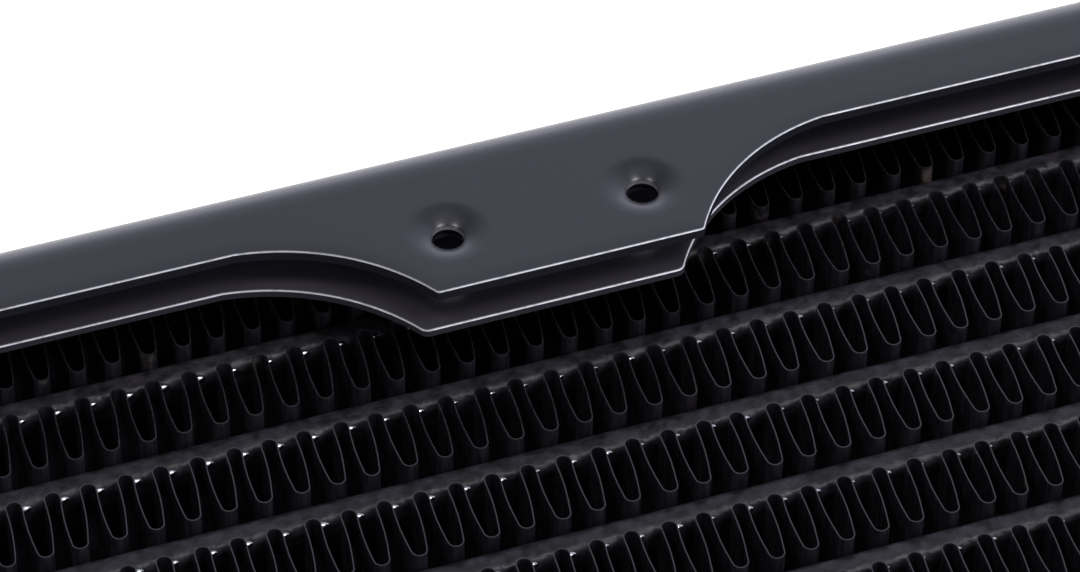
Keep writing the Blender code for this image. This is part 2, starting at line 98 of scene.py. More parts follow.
class Outward(Enum):
    """Ways that a port can face, as the angle and axis of the turn that brings +Z onto each."""

    UP = (0.0, "X")
    LEFT = (-math.pi / 2, "X")
    RIGHT = (math.pi / 2, "X")
    BACK = (-math.pi / 2, "Y")

    def turn(self) -> Matrix:
        """Returns the rotation matrix of this way."""
        return Matrix.Rotation(self.value[0], 4, self.value[1])


# ---- Node trees ---------------------------------------------------------------------------------


class Wire:
    """A node's output whose arithmetic adds Math nodes to its tree."""

    def __init__(self, graph: "Graph", socket: bpy.types.NodeSocket) -> None:
        """Wraps an output socket of a graph."""
        self.graph = graph
        self.socket = socket

    def _math(self, operation: str, *values: Value) -> "Wire":
        """Returns the output of a new Math node."""
        return self.graph.node("ShaderNodeMath", {"operation": operation}, *values)

    def __add__(self, other: Value) -> "Wire":
        """Returns self + other."""
        return self._math("ADD", self, other)

    def __sub__(self, other: Value) -> "Wire":
        """Returns self - other."""
        return self._math("SUBTRACT", self, other)

    def __rsub__(self, other: Value) -> "Wire":
        """Returns other - self."""
        return self._math("SUBTRACT", other, self)

    def __mul__(self, other: Value) -> "Wire":
        """Returns self * other."""
        return self._math("MULTIPLY", self, other)

    def __truediv__(self, other: Value) -> "Wire":
        """Returns self / other."""
        return self._math("DIVIDE", self, other)

    def __mod__(self, other: Value) -> "Wire":
        """Returns self modulo other."""
        return self._math("FLOORED_MODULO", self, other)

    def __abs__(self) -> "Wire":
        """Returns the absolute value."""
        return self._math("ABSOLUTE", self)

    __radd__ = __add__
    __rmul__ = __mul__

    def floor(self) -> "Wire":
        """Returns the value rounded down."""
        return self._math("FLOOR", self)

    def sin(self) -> "Wire":
        """Returns the sine."""
        return self._math("SINE", self)

    def cos(self) -> "Wire":
        """Returns the cosine."""
        return self._math("COSINE", self)

    def clamp(self) -> "Wire":
        """Returns the value limited to 0..1."""
        settings = {"operation": "ADD", "use_clamp": True}
        return self.graph.node("ShaderNodeMath", settings, self, 0.0)

    def step(self, low: float, high: float) -> "Wire":
        """Returns a smooth step from 0 at low to 1 at high."""
        settings = {"interpolation_type": "SMOOTHSTEP"}
        return self.graph.node("ShaderNodeMapRange", settings, self, low, high)

    def axis(self, name: str) -> "Wire":
        """Returns one component, X, Y or Z, of a vector."""
        parts = self.graph.node("ShaderNodeSeparateXYZ", None, self)
        return Wire(self.graph, parts.socket.node.outputs[name])


class Graph:
    """A node tree that is filled through one method."""

    def __init__(self, tree: bpy.types.NodeTree) -> None:
        """Wraps a tree and empties it."""
        self.tree = tree
        tree.nodes.clear()

    def node(self, kind: str, settings: dict | None = None, *values: Value, **named: Value) -> Wire | None:
        """Adds a node.

        Args:
            kind: The node's type.
            settings: Its properties, which are set before its sockets. "stops" gives a ramp's
                stops, as pairs of a place and a colour.
            values: Values or links of its enabled input sockets in order; None leaves one alone.
            named: Values or links of its input sockets by name, with _ for a space.

        Returns:
            The node's first enabled output, if it has one.
        """
        made = self.tree.nodes.new(kind)
        for key, value in (settings or {}).items():
            if key == "stops":
                self._set_stops(made.color_ramp, value)
            else:
                setattr(made, key, value)
        sockets = [socket for socket in made.inputs if socket.enabled]
        for socket, value in zip(sockets, values):
            self._feed(socket, value)
        by_name = {socket.name.replace(" ", "_"): socket for socket in reversed(sockets)}
        for key, value in named.items():
            self._feed(by_name[key], value)
        outputs = [socket for socket in made.outputs if socket.enabled]
        return Wire(self, outputs[0]) if outputs else None

    def _set_stops(self, ramp: bpy.types.ColorRamp, stops: Sequence[tuple[float, tuple]]) -> None:
        """Gives a colour ramp its stops.

        Args:
            ramp: The ramp.
            stops: Pairs of a place and a colour.
        """
        while len(ramp.elements) < len(stops):
            ramp.elements.new(1)
        for element, (place, colour) in zip(ramp.elements, stops):
            element.position = place
            element.color = (*colour, 1)

    def _feed(self, socket: bpy.types.NodeSocket, value: Value) -> None:
        """Links a wire to a socket, or sets the socket's own value.

        Args:
            socket: The input socket.
            value: The wire or the value.
        """
        if isinstance(value, Wire):
            self.tree.links.new(value.socket, socket)
        elif value is not None:
            whole = (*value, 1) if socket.type == "RGBA" else value
            socket.default_value = whole

    def mix(self, share: Value, first: Value, second: Value) -> Wire:
        """Returns a colour between two, at a share of the second."""
        return self.node("ShaderNodeMix", {"data_type": "RGBA"}, share, first, second)

    def vector(self, x: Value, y: Value, z: Value) -> Wire:
        """Returns a vector made of three values."""
        return self.node("ShaderNodeCombineXYZ", None, x, y, z)

    def stretched(self, place: Wire, factors: tuple[float, float, float]) -> Wire:
        """Returns coordinates multiplied by a factor along each axis."""
        return self.node("ShaderNodeVectorMath", {"operation": "MULTIPLY"}, place, factors)

    def noise(self, place: Wire, size: float, detail: float = 2.0, rough: float = 0.5) -> Wire:
        """Adds a noise pattern.

        Args:
            place: Coordinates in metres.
            size: Size of the pattern's features.
            detail: Number of finer layers.
            rough: Strength of the finer layers.

        Returns:
            Values around 0.5.
        """
        named = {"Scale": 1 / size, "Detail": detail, "Roughness": rough}
        return self.node("ShaderNodeTexNoise", None, place, **named)

    def bump(self, height: Wire, distance: float) -> Wire:
        """Returns the normal of a surface that stands proud by distance where height is 1."""
        return self.node("ShaderNodeBump", None, Strength=1.0, Distance=distance, Height=height)


class Recipe(Graph):
    """A Geometry Nodes tree with named inputs, and the material in its input called Finish."""

    KINDS = {float: "NodeSocketFloat", int: "NodeSocketInt"}

    def __init__(self, name: str, inputs: dict[str, type]) -> None:
        """Makes the tree and its interface.

        Args:
            name: The tree's name.
            inputs: The type of each input, float or int, by name.
        """
        super().__init__(bpy.data.node_groups.new(name, "GeometryNodeTree"))
        sockets = {label: self.KINDS[kind] for label, kind in inputs.items()}
        sockets["Finish"] = "NodeSocketMaterial"
        self.ids = {}
        for label, kind in sockets.items():
            made = self.tree.interface.new_socket(label, in_out="INPUT", socket_type=kind)
            self.ids[label] = made.identifier
        self.tree.interface.new_socket("Mesh", in_out="OUTPUT", socket_type="NodeSocketGeometry")
        self.entry = self.tree.nodes.new("NodeGroupInput")

    def given(self, label: str) -> Wire:
        """Returns an input of the tree."""
        return Wire(self, self.entry.outputs[label])

    def close(self, geometry: Wire) -> None:
        """Realises and dresses the geometry, and makes it the tree's result.

        Args:
            geometry: What the tree has made.
        """
        real = self.node("GeometryNodeRealizeInstances", None, geometry)
        dressed = self.node("GeometryNodeSetMaterial", None, real, Material=self.given("Finish"))
        self.node("NodeGroupOutput", None, dressed)

    def cast(self, name: str, finish: bpy.types.Material, **values: float | int) -> bpy.types.Mesh:
        """Runs the tree on an empty mesh.

        Args:
            name: The name of the mesh.
            finish: The material of the tree's last node.
            values: The value of each other input by name, with _ for a space.

        Returns:
            The plain mesh that comes out.
        """
        host = shown(bpy.data.meshes.new(name))
        modifier = host.modifiers.new(self.tree.name, "NODES")
        modifier.node_group = self.tree
        modifier[self.ids["Finish"]] = finish
        for label, value in values.items():
            modifier[self.ids[label.replace("_", " ")]] = value
        return frozen(host)


def frozen(host: bpy.types.Object) -> bpy.types.Mesh:
    """Turns an object with live modifiers into a plain mesh, and removes the object.

    Args:
        host: The object, at the origin.

    Returns:
        The mesh that its modifiers make.
    """
    graph = bpy.context.evaluated_depsgraph_get()
    mesh = bpy.data.meshes.new_from_object(host.evaluated_get(graph), depsgraph=graph)
    name = host.name
    live = host.data
    bpy.data.objects.remove(host)
    bpy.data.meshes.remove(live)
    mesh.name = name
    return mesh


def shown(mesh: bpy.types.Mesh) -> bpy.types.Object:
    """Shows a mesh in the scene.

    Args:
        mesh: The mesh.

    Returns:
        A new object that has the mesh's name.
    """
    made = bpy.data.objects.new(mesh.name, mesh)
    bpy.context.scene.collection.objects.link(made)
    return made


def cut_away(whole: bpy.types.Object, cutter: bpy.types.Object) -> None:
    """Cuts one object out of another, by a live modifier.

    Args:
        whole: The object that is cut.
        cutter: The object whose shape is cut out of it.
    """
    cut = whole.modifiers.new(cutter.name, "BOOLEAN")
    cut.object = cutter
    cut.solver = "EXACT"


# ---- Finishes -----------------------------------------------------------------------------------


class Finish:
    """A material made of nodes. Each kind of finish says how its surface varies."""

    name: str

    def build(self) -> bpy.types.Material:
        """Makes the material.

        Returns:
            The finished material.
        """
        material = bpy.data.materials.new(self.name)
        material.use_nodes = True
        graph = Graph(material.node_tree)
        coordinates = graph.node("ShaderNodeTexCoord").socket.node
        shader = self.shade(graph, Wire(graph, coordinates.outputs["Object"]))
        graph.node("ShaderNodeOutputMaterial", None, shader)
        return material

    def shade(self, graph: Graph, place: Wire) -> Wire:
        """Adds the finish's shader and returns it."""
        raise NotImplementedError


@dataclass(frozen=True)
class SatinPaint(Finish):
    """Satin black paint on metal, bare where the mesh's "bare" attribute says so."""

    name: str
    colour: Colour = (0.013, 0.013, 0.018)
    metal: Colour = (0.85, 0.85, 0.88)
    metal_roughness: float = 0.32
    metallic: float = 0.9
    patchy: float = 0.4
    roughness: float = 0.27
    spread: float = 0.02
    specular: float = 0.5
    grain_size: float = 0.13 * MM
    grain_depth: float = 0.0012 * MM
    peel_size: float = 2.5 * MM
    peel_depth: float = 0.002 * MM
    dust: float = 0.0
    mottle: float = 0.06
    mottle_size: float = 30 * MM
    dust_colour: Colour = (0.11, 0.11, 0.12)

    def shade(self, graph: Graph, place: Wire) -> Wire:
        """Adds the paint: mottled tone, fine grain, orange peel, dust, and bare edges.

        Args:
            graph: The material's node tree.
            place: Coordinates on the object, in metres.

        Returns:
            The shader.
        """
        tone = graph.noise(place, self.mottle_size, 3).step(0.3, 0.7)
        grain = graph.noise(place, self.grain_size, 3, 0.7)
        peel = graph.noise(place, self.peel_size, 1)
        dust = graph.noise(place, 0.25 * MM, 2, 0.6).step(0.74, 0.8) * self.dust
        worn = graph.node("ShaderNodeAttribute", {"attribute_name": "bare"}).socket.node.outputs["Fac"]
        patches = graph.noise(place, 0.9 * MM, 3, 0.6).step(0.3, 0.55)
        worn = Wire(graph, worn) * (1 - self.patchy + self.patchy * patches)
        darker = tuple((1 - self.mottle) * channel for channel in self.colour)
        lighter = tuple((1 + self.mottle) * channel for channel in self.colour)
        base = graph.mix(dust, graph.mix(tone, darker, lighter), self.dust_colour)
        rough = self.roughness - self.spread + 2 * self.spread * graph.noise(place, 2 * MM, 3)
        rough = (rough + 0.12 * dust) * (1 - worn) + self.metal_roughness * worn
        height = grain * (self.grain_depth / self.peel_depth) + peel
        return graph.node(
            "ShaderNodeBsdfPrincipled",
            None,
            Base_Color=graph.mix(worn, base, self.metal),
            Roughness=rough,
            Metallic=worn * self.metallic,
            Specular_IOR_Level=self.specular,
            Normal=graph.bump(height, self.peel_depth),
        )


@dataclass(frozen=True)
class FoilPaint(Finish):
    """Thin paint over copper foil: rubbed along the cut edges with a painted highlight, missing in the
    shade, and lightened deep between the fins by painted fill light.
    """

    name: str
    middle_z: float
    half_depth: float
    shade_y: float
    colour: Colour = (0.0095, 0.0082, 0.011)
    # lighter paint along the cut edges: rubbed paint, and a painted highlight on the edge lines
    rubbed: Colour = (0.017, 0.016, 0.02)
    thin: Colour = (0.36, 0.31, 0.37)  # painted fill light: a light colour deep between the fins, standing in for light that reaches their shade
    copper: Colour = (0.2, 0.155, 0.13)
    roughness: float = 0.3
    streak: tuple[float, float, float] = (1.0, 1.0, 0.06)  # the pattern is drawn out along Z
    rub: tuple[float, float] = (0.16 * MM, 0.06 * MM)  # from a cut edge: where the rubbed paint and its painted highlight start and end
    reach: tuple[float, float] = (8 * MM, 2 * MM)  # from a cut edge: where the paint is thinnest and the painted fill light strongest, and where the paint is whole and the fill light ends

    def shade(self, graph: Graph, place: Wire) -> Wire:
        """Adds the foil: clouded paint, bare copper deep down and beside the shells, painted fill light deep
        between the fins, and rubbed edges with a painted highlight.

        Args:
            graph: The material's node tree.
            place: Coordinates on the object, in metres.

        Returns:
            The shader.
        """
        depth = abs(place.axis("Z") - self.middle_z)
        edge = depth.step(*(self.half_depth - far for far in self.rub))
        # Painted fill light: away from the cut edges, deep between the fins, the colour turns light to lift
        # the shade there. The same share also thins the paint towards copper.
        deep_fill_and_thin_paint = 1 - depth.step(*(self.half_depth - far for far in self.reach))
        shaded = abs(place.axis("Y")).step(self.shade_y - 3 * MM, self.shade_y + 1.5 * MM)
        cloud = graph.noise(place, 3 * MM, 3, 0.6)
        bare = (cloud + 0.1 * deep_fill_and_thin_paint + 0.1 * shaded).step(0.66, 0.95) * (1 - edge)
        runs = graph.noise(graph.stretched(place, self.streak), 0.35 * MM, 3, 0.6).step(0.35, 0.7)
        tone = graph.noise(place, 1.3 * MM, 3, 0.65).step(0.25, 0.75) * 0.5 + runs * 0.5
        darker = tuple(0.6 * channel for channel in self.colour)
        lighter = tuple(1.7 * channel for channel in self.colour)
        # The paint's colour, with the painted fill light mixed in deep down.
        cover_with_fill_light = graph.mix(deep_fill_and_thin_paint * (0.5 + 0.5 * runs), graph.mix(tone, darker, lighter), self.thin)
        base = graph.mix(bare, cover_with_fill_light, self.copper)
        # Cut edges lightened: rubbed paint and a painted highlight.
        base = graph.mix(edge * (0.35 + 0.65 * tone), base, self.rubbed)
        height = graph.noise(place, 0.15 * MM, 3, 0.7) + 2 * graph.noise(place, 1 * MM)
        return graph.node(
            "ShaderNodeBsdfPrincipled",
            None,
            Base_Color=base,
            Roughness=self.roughness + 0.22 * (runs - 0.5) - 0.04 * bare,
            Metallic=bare * 0.5,
            Normal=graph.bump(height, 0.006 * MM),
        )


@dataclass(frozen=True)
class Metal(Finish):
    """Bare or plated metal, with faint stains."""

    name: str
    colour: Colour
    stain: Colour
    roughness: float = 0.25
    grain: float = 0.4 * MM
    relief: float = 0.0025 * MM

    def shade(self, graph: Graph, place: Wire) -> Wire:
        """Adds the metal: stains and an uneven polish.

        Args:
            graph: The material's node tree.
            place: Coordinates on the object, in metres.

        Returns:
            The shader.
        """
        stains = graph.noise(place, 2.5 * MM, 4, 0.6).step(0.5, 0.8)
        polish = graph.noise(place, self.grain, 3)
        return graph.node(
            "ShaderNodeBsdfPrincipled",
            None,
            Base_Color=graph.mix(stains, self.colour, self.stain),
            Roughness=self.roughness + 0.16 * stains + 0.14 * (polish - 0.5),
            Metallic=1.0,
            Normal=graph.bump(polish, self.relief),
        )


@dataclass(frozen=True)
class Rubber(Finish):
    """Matt black rubber with a bloom."""

    name: str
    colour: Colour = (0.012, 0.012, 0.012)
    bloom: Colour = (0.05, 0.05, 0.05)

    def shade(self, graph: Graph, place: Wire) -> Wire:
        """Adds the rubber: a grey bloom and a soft grain.

        Args:
            graph: The material's node tree.
            place: Coordinates on the object, in metres.

        Returns:
            The shader.
        """
        share = graph.noise(place, 2 * MM, 3, 0.6).step(0.45, 0.8)
        return graph.node(
            "ShaderNodeBsdfPrincipled",
            None,
            Base_Color=graph.mix(share * 0.5, self.colour, self.bloom),
            Roughness=0.55 + 0.2 * share,
            Normal=graph.bump(graph.noise(place, 0.1 * MM), 0.003 * MM),
        )


@dataclass(frozen=True)
class Paper(Finish):
    """The studio's floor, which is lit from below as a light table is."""

    name: str
    colour: Colour = (0.9, 0.9, 0.9)
    glow: float = 0.5

    def shade(self, graph: Graph, place: Wire) -> Wire:
        """Adds the paper: matt, with a faint fibre.

        Args:
            graph: The material's node tree.
            place: Coordinates on the object, in metres.

        Returns:
            The shader.
        """
        fibre = graph.noise(place, 1.5 * MM, 3)
        return graph.node(
            "ShaderNodeBsdfPrincipled",
            None,
            Base_Color=graph.mix(fibre, tuple(0.99 * channel for channel in self.colour), self.colour),
            Roughness=0.9,
            Emission_Color=(1.0, 1.0, 1.0),
            Emission_Strength=self.glow,
        )


# ---- Making meshes ------------------------------------------------------------------------------


class Clay:
    """A mesh in the making that also holds how bare each of its points is."""

    CREASE = math.radians(40)

    def __init__(self) -> None:
        """Starts an empty mesh."""
        self.bm = bmesh.new()
        self.layer = self.bm.verts.layers.float.new("bare")

    def point(self, place: Sequence[float], bare: float = 0.0) -> bmesh.types.BMVert:
        """Adds a point.

        Args:
            place: Where it lies.
            bare: How bare the metal is there, from 0 to 1.

        Returns:
            The point.
        """
        made = self.bm.verts.new(place)
        made[self.layer] = bare
        return made

    def skin(self, first: Row, second: Row, loop: bool) -> None:
        """Joins two rows of points by quads.

        Args:
            first: A row of points.
            second: The next row, of the same length.
            loop: Whether the rows are closed.
        """
        count = len(first)
        for here in range(count if loop else count - 1):
            after = (here + 1) % count
            self.bm.faces.new((first[here], first[after], second[after], second[here]))

    def turned(self, profile: Sequence[Turned], sides: int, place: Matrix, closed: bool = True) -> None:
        """Spins a profile about local Z.

        Args:
            profile: The profile's points. A radius of 0 is a pole.
            sides: Number of steps around.
            place: Where local Z stands.
            closed: Whether the profile's last point joins its first.
        """
        rings = []
        for radius, height, bare in profile:
            if radius:
                around = circle(Vector((0, 0)), radius, sides)
                ring = [self.point(place @ Vector((x, y, height)), bare) for x, y in around]
            else:
                ring = [self.point(place @ Vector((0, 0, height)), bare)] * sides
            rings.append(ring)
        for first, second in zip(rings, rings[1:] + rings[:1] if closed else rings[1:]):
            for here in range(sides):
                after = (here + 1) % sides
                corners = dict.fromkeys((first[here], first[after], second[after], second[here]))
                self.bm.faces.new(corners)

    def add(self, mesh: bpy.types.Mesh, place: Matrix, bare: float = 0.0) -> None:
        """Adds a copy of a mesh.

        Args:
            mesh: The mesh.
            place: Where the copy stands.
            bare: How bare all of it is.
        """
        before = len(self.bm.verts)
        self.bm.from_mesh(mesh)
        self.bm.verts.ensure_lookup_table()
        added = self.bm.verts[before:]
        for vert in added:
            vert[self.layer] = bare
        bmesh.ops.transform(self.bm, matrix=place, verts=added)

    def cast(self, name: str, merge: float = 0.0001 * MM) -> bpy.types.Mesh:
        """Ends the making: points are merged, faces turned outwards, and sharp edges creased.

        Args:
            name: The mesh's name.
            merge: Points this close are merged.

        Returns:
            The mesh.
        """
        bmesh.ops.remove_doubles(self.bm, verts=self.bm.verts, dist=merge)
        bmesh.ops.recalc_face_normals(self.bm, faces=self.bm.faces)
        mesh = bpy.data.meshes.new(name)
        self.bm.to_mesh(mesh)
        self.bm.free()
        return smoothed(mesh, self.CREASE)


def smoothed(mesh: bpy.types.Mesh, crease: float) -> bpy.types.Mesh:
    """Shades a mesh smooth except over its sharp edges.

    Args:
        mesh: The mesh.
        crease: Edges that turn by more than this angle stay sharp.

    Returns:
        The same mesh.
    """
    mesh.shade_smooth()
    mesh.set_sharp_from_angle(angle=crease)
    return mesh


def arc(start: tuple, end: tuple, radius: float, steps: int) -> list[Vector]:
    """Finds the arc between two points that curves to the left of the way there.

    Args:
        start: First point.
        end: Last point.
        radius: The arc's radius.
        steps: Number of straight steps.

    Returns:
        The arc's points.
    """
    first, last = Vector(start), Vector(end)
    half = (last - first) / 2
    rise = math.sqrt(radius**2 - half.length_squared)
    centre = first + half - Vector((-half.y, half.x)).normalized() * rise
    spoke = first - centre
    turn = -spoke.angle_signed(last - centre)
    return [centre + Matrix.Rotation(turn * n / steps, 2) @ spoke for n in range(steps + 1)]


def corners_of(loop: Sequence[Vector]) -> list[tuple[Vector, Vector, Vector]]:
    """Returns each point of a closed loop, with the direction into it and the one out of it."""
    ways = [(after - point).normalized() for point, after in zip(loop, [*loop[1:], loop[0]])]
    return list(zip(loop, [ways[-1], *ways[:-1]], ways))


def rounded(loop: Sequence[Vector], radius: float, steps: int, sharp: float) -> list[Vector]:
    """Rounds the sharp corners of a closed outline.

    Args:
        loop: The outline, with its inside on the left.
        radius: The radius of a rounded corner.
        steps: Number of straight steps in a rounded corner.
        sharp: A corner that turns by less than this angle is left.

    Returns:
        The outline with its corners rounded.
    """
    outline = []
    for point, way_in, way_out in corners_of(loop):
        turn = -way_in.angle_signed(way_out)
        if abs(turn) < sharp:
            outline.append(point)
            continue
        start = point - way_in * radius * math.tan(abs(turn) / 2)
        centre = start + Vector((-way_in.y, way_in.x)) * math.copysign(radius, turn)
        spoke = start - centre
        outline += [centre + Matrix.Rotation(turn * n / steps, 2) @ spoke for n in range(steps + 1)]
    return outline


def inset(loop: Sequence[Vector], depth: float) -> list[Vector]:
    """Moves a closed outline inwards.

    Args:
        loop: The outline, with its inside on its left.
        depth: How far it moves.

    Returns:
        The moved outline.
    """
    moved = []
    for point, way_in, way_out in corners_of(loop):
        first, second = Vector((-way_in.y, way_in.x)), Vector((-way_out.y, way_out.x))
        moved.append(point + (first + second) * depth / (1 + first.dot(second)))
    return moved


def circle(centre: Vector, radius: float, sides: int) -> list[Vector]:
    """Returns the points of a circle in a plane."""
    angles = [math.tau * n / sides for n in range(sides)]
    return [centre + radius * Vector((math.cos(a), math.sin(a))) for a in angles]


def distance_to(point: Vector, loop: Sequence[Vector]) -> float:
    """Measures how far a point lies from a closed outline.

    Args:
        point: The point.
        loop: The outline.

    Returns:
        The distance to the outline's nearest side.
    """
    nearest = math.inf
    for a, b in zip(loop, [*loop[1:], loop[0]]):
        along = b - a
        share = min(max((point - a).dot(along) / along.length_squared, 0), 1)
        nearest = min(nearest, (a + share * along - point).length_squared)
    return math.sqrt(nearest)


def inside(point: Vector, loop: Sequence[Vector]) -> bool:
    """Finds out whether a point lies inside a closed outline.

    Args:
        point: The point.
        loop: The outline.

    Returns:
        Whether it does.
    """
    crossings = 0
    for a, b in zip(loop, [*loop[1:], loop[0]]):
        if (a.y > point.y) != (b.y > point.y):
            crossings += a.x + (point.y - a.y) * (b.x - a.x) / (b.y - a.y) > point.x
    return crossings % 2 == 1


# ---- Workshop -----------------------------------------------------------------------------------


@dataclass
class Workshop:
    """Turns meshes into finished pieces of the object."""

    radiator: str
    materials: dict[str, bpy.types.Material] = field(default_factory=dict)

    def material(self, finish: Finish) -> bpy.types.Material:
        """Finds a finish's material, which is made the first time that it is asked for.

        Args:
            finish: The finish.

        Returns:
            The material.
        """
        if finish.name not in self.materials:
            self.materials[finish.name] = finish.build()
        return self.materials[finish.name]

    def deliver(
        self,
        mesh: bpy.types.Mesh,
        finish: Finish,
        replaces: str = "",
        body: str = "",
    ) -> bpy.types.Object:
        """Makes a mesh a piece of the object.

        Args:
            mesh: The piece's mesh, in place. The piece takes its name.
            finish: Its finish.
            replaces: The frame's node that it stands for, if any.
            body: The body that it rides on, or the radiator's own body if empty.

        Returns:
            The piece.
        """
        mesh.materials.clear()
        mesh.materials.append(self.material(finish))
        piece = shown(mesh)
        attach(piece, body or self.radiator)
        if replaces:
            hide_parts(replaces)
        log.info("%s: %d faces", piece.name, len(mesh.polygons))
        return piece


@dataclass(frozen=True)
class SolderBead:
    """Beads of solder round rounded rectangles that stand in a row along local X."""

    name: str
    width: float
    height: float
    corner: float
    bead: float
    count: int = 1
    spacing: float = 0.0
    seed: int = 1

    CORNER_STEPS = 10
    BEAD_SIDES = 8
    STEP = 1.2 * MM
    FLOW = (0.75, 1.2)  # a bead's thinnest and thickest stretch, as shares of its radius

    def cast(self, finish: bpy.types.Material) -> bpy.types.Mesh:
        """Makes the beads in the XY plane, about the origin.

        Args:
            finish: Their material.

        Returns:
            Their mesh.
        """
        sizes = {label: float for label in ("Width", "Height", "Corner", "Bead", "Spacing", "Start")}
        tree = Recipe(self.name, {**sizes, "Count": int, "Seed": int})
        width, height, corner = (tree.given(label) for label in ("Width", "Height", "Corner"))
        seed = tree.given("Seed")
        outline = tree.node("GeometryNodeCurvePrimitiveQuadrilateral", None, width, height)
        rounding = (outline, self.CORNER_STEPS, corner, True)
        filleted = tree.node("GeometryNodeFilletCurve", {"mode": "POLY"}, *rounding)
        path = tree.node("GeometryNodeResampleCurve", {"mode": "LENGTH"}, filleted, Length=self.STEP)
        radius = tree.given("Bead")
        section = tree.node("GeometryNodeCurvePrimitiveCircle", None, self.BEAD_SIDES, Radius=radius)
        flow = tree.node("FunctionNodeRandomValue", {"data_type": "FLOAT"}, *self.FLOW, Seed=seed)
        ring = tree.node("GeometryNodeCurveToMesh", None, path, section, flow)
        origin = tree.vector(tree.given("Start"), 0.0, 0.0)
        apart = tree.vector(tree.given("Spacing"), 0.0, 0.0)
        row = tree.node("GeometryNodeMeshLine", {"mode": "OFFSET"}, tree.given("Count"), origin, apart)
        tree.close(tree.node("GeometryNodeInstanceOnPoints", None, row, Instance=ring))
        mesh = tree.cast(
            self.name,
            finish,
            Width=self.width,
            Height=self.height,
            Corner=self.corner,
            Bead=self.bead,
            Spacing=self.spacing,
            Start=-self.spacing * (self.count - 1) / 2,
            Count=self.count,
            Seed=self.seed,
        )
        return smoothed(mesh, Clay.CREASE)


@dataclass(frozen=True)
class ThreadRidge:
    """The ridge of a right-hand screw thread round local Z, from a root to a crest radius."""

    name: str
    root: float
    crest: float
    pitch: float
    length: float
    sides: int = 32

    WIDTH_TO_PITCH = 0.72
    SUNK = 0.15  # share of the ridge's height that is sunk in the root
    TIP = 0.05  # share of its size that the ridge keeps at each end

    def cast(self, finish: bpy.types.Material) -> bpy.types.Mesh:
        """Makes the ridge, from local Z 0 upwards.

        Args:
            finish: Its material.

        Returns:
            Its mesh.
        """
        sizes = {label: float for label in ("Radius", "Pitch", "Height", "Width")}
        tree = Recipe(self.name, {**sizes, "Steps": int, "Sides": int})
        sides, radius = tree.given("Sides"), tree.given("Radius")
        index = tree.node("GeometryNodeInputIndex")
        turns = index / sides
        angle = turns * math.tau
        spot = tree.vector(angle.cos() * radius, angle.sin() * radius, turns * tree.given("Pitch"))
        line = tree.node("GeometryNodeMeshLine", {"mode": "OFFSET"}, tree.given("Steps"))
        placed = tree.node("GeometryNodeSetPosition", None, line, Position=spot)
        path = tree.node("GeometryNodeMeshToCurve", None, placed)
        upright = tree.node("GeometryNodeSetCurveNormal", {"mode": "Z_UP"}, path)
        triangle = tree.node("GeometryNodeCurvePrimitiveCircle", None, 3, Radius=1.0)
        stretch = tree.vector(tree.given("Height"), tree.given("Width"), 1.0)
        section = tree.node("GeometryNodeTransform", None, triangle, Scale=stretch)
        end, quarter = tree.given("Steps") - 1, sides / 4
        runout = (index / quarter).clamp() * ((end - index) / quarter).clamp()
        named = {"Scale": self.TIP + (1 - self.TIP) * runout, "Fill_Caps": True}
        tree.close(tree.node("GeometryNodeCurveToMesh", None, upright, section, **named))
        # The triangle section reaches 1 to its apex and 1/2 back to its base, which is sqrt(3) wide.
        tall = (self.crest - self.root) * (1 + self.SUNK) / 1.5
        return tree.cast(
            self.name,
            finish,
            Radius=self.crest - tall,
            Pitch=self.pitch,
            Height=-tall,
            Width=self.pitch * self.WIDTH_TO_PITCH / math.sqrt(3),
            Steps=round(self.length / self.pitch * self.sides) + 1,
            Sides=self.sides,
        )


# ---- Layout -------------------------------------------------------------------------------------


@dataclass(frozen=True)
class Layout:
    """Places that the pieces share, read from the frame."""

    fans: int = 2
    screw_spacing: float = 105 * MM
    screw_inset: float = 11 * MM  # from a shell's side in to its row of screws

    @property
    def shell(self) -> tuple[Vector, Vector]:
        """The left shell's box."""
        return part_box("side_shell_left")

    @property
    def middle_x(self) -> float:
        """The fans' middle."""
        return (self.shell[0].x + self.shell[1].x) / 2

    @property
    def half_length(self) -> float:
        """Half the length of a shell."""
        return (self.shell[1].x - self.shell[0].x) / 2

    @property
    def middle_z(self) -> float:
        """The core's middle."""
        return (self.shell[0].z + self.shell[1].z) / 2

    @property
    def screw_y(self) -> float:
        """How far the rows of screws lie from the middle."""
        return self.shell[1].y - self.screw_inset

    @property
    def fan_middles(self) -> list[float]:
        """X of each fan's middle."""
        size = 2 * self.half_length / self.fans
        return [self.middle_x + (n - (self.fans - 1) / 2) * size for n in range(self.fans)]

    @property
    def screws(self) -> list[float]:
        """X of each screw along one side."""
        return [x + way * self.screw_spacing / 2 for x in self.fan_middles for way in (-1, 1)]

    def across(self, x: float) -> Matrix:
        """Returns the matrix that stands the XY plane across the tubes at X, with local X along Y."""
        return Matrix(((0, 0, 1, x), (1, 0, 0, 0), (0, 1, 0, self.middle_z), (0, 0, 0, 1)))


# ---- Side shells and guards ---------------------------------------------------------------------


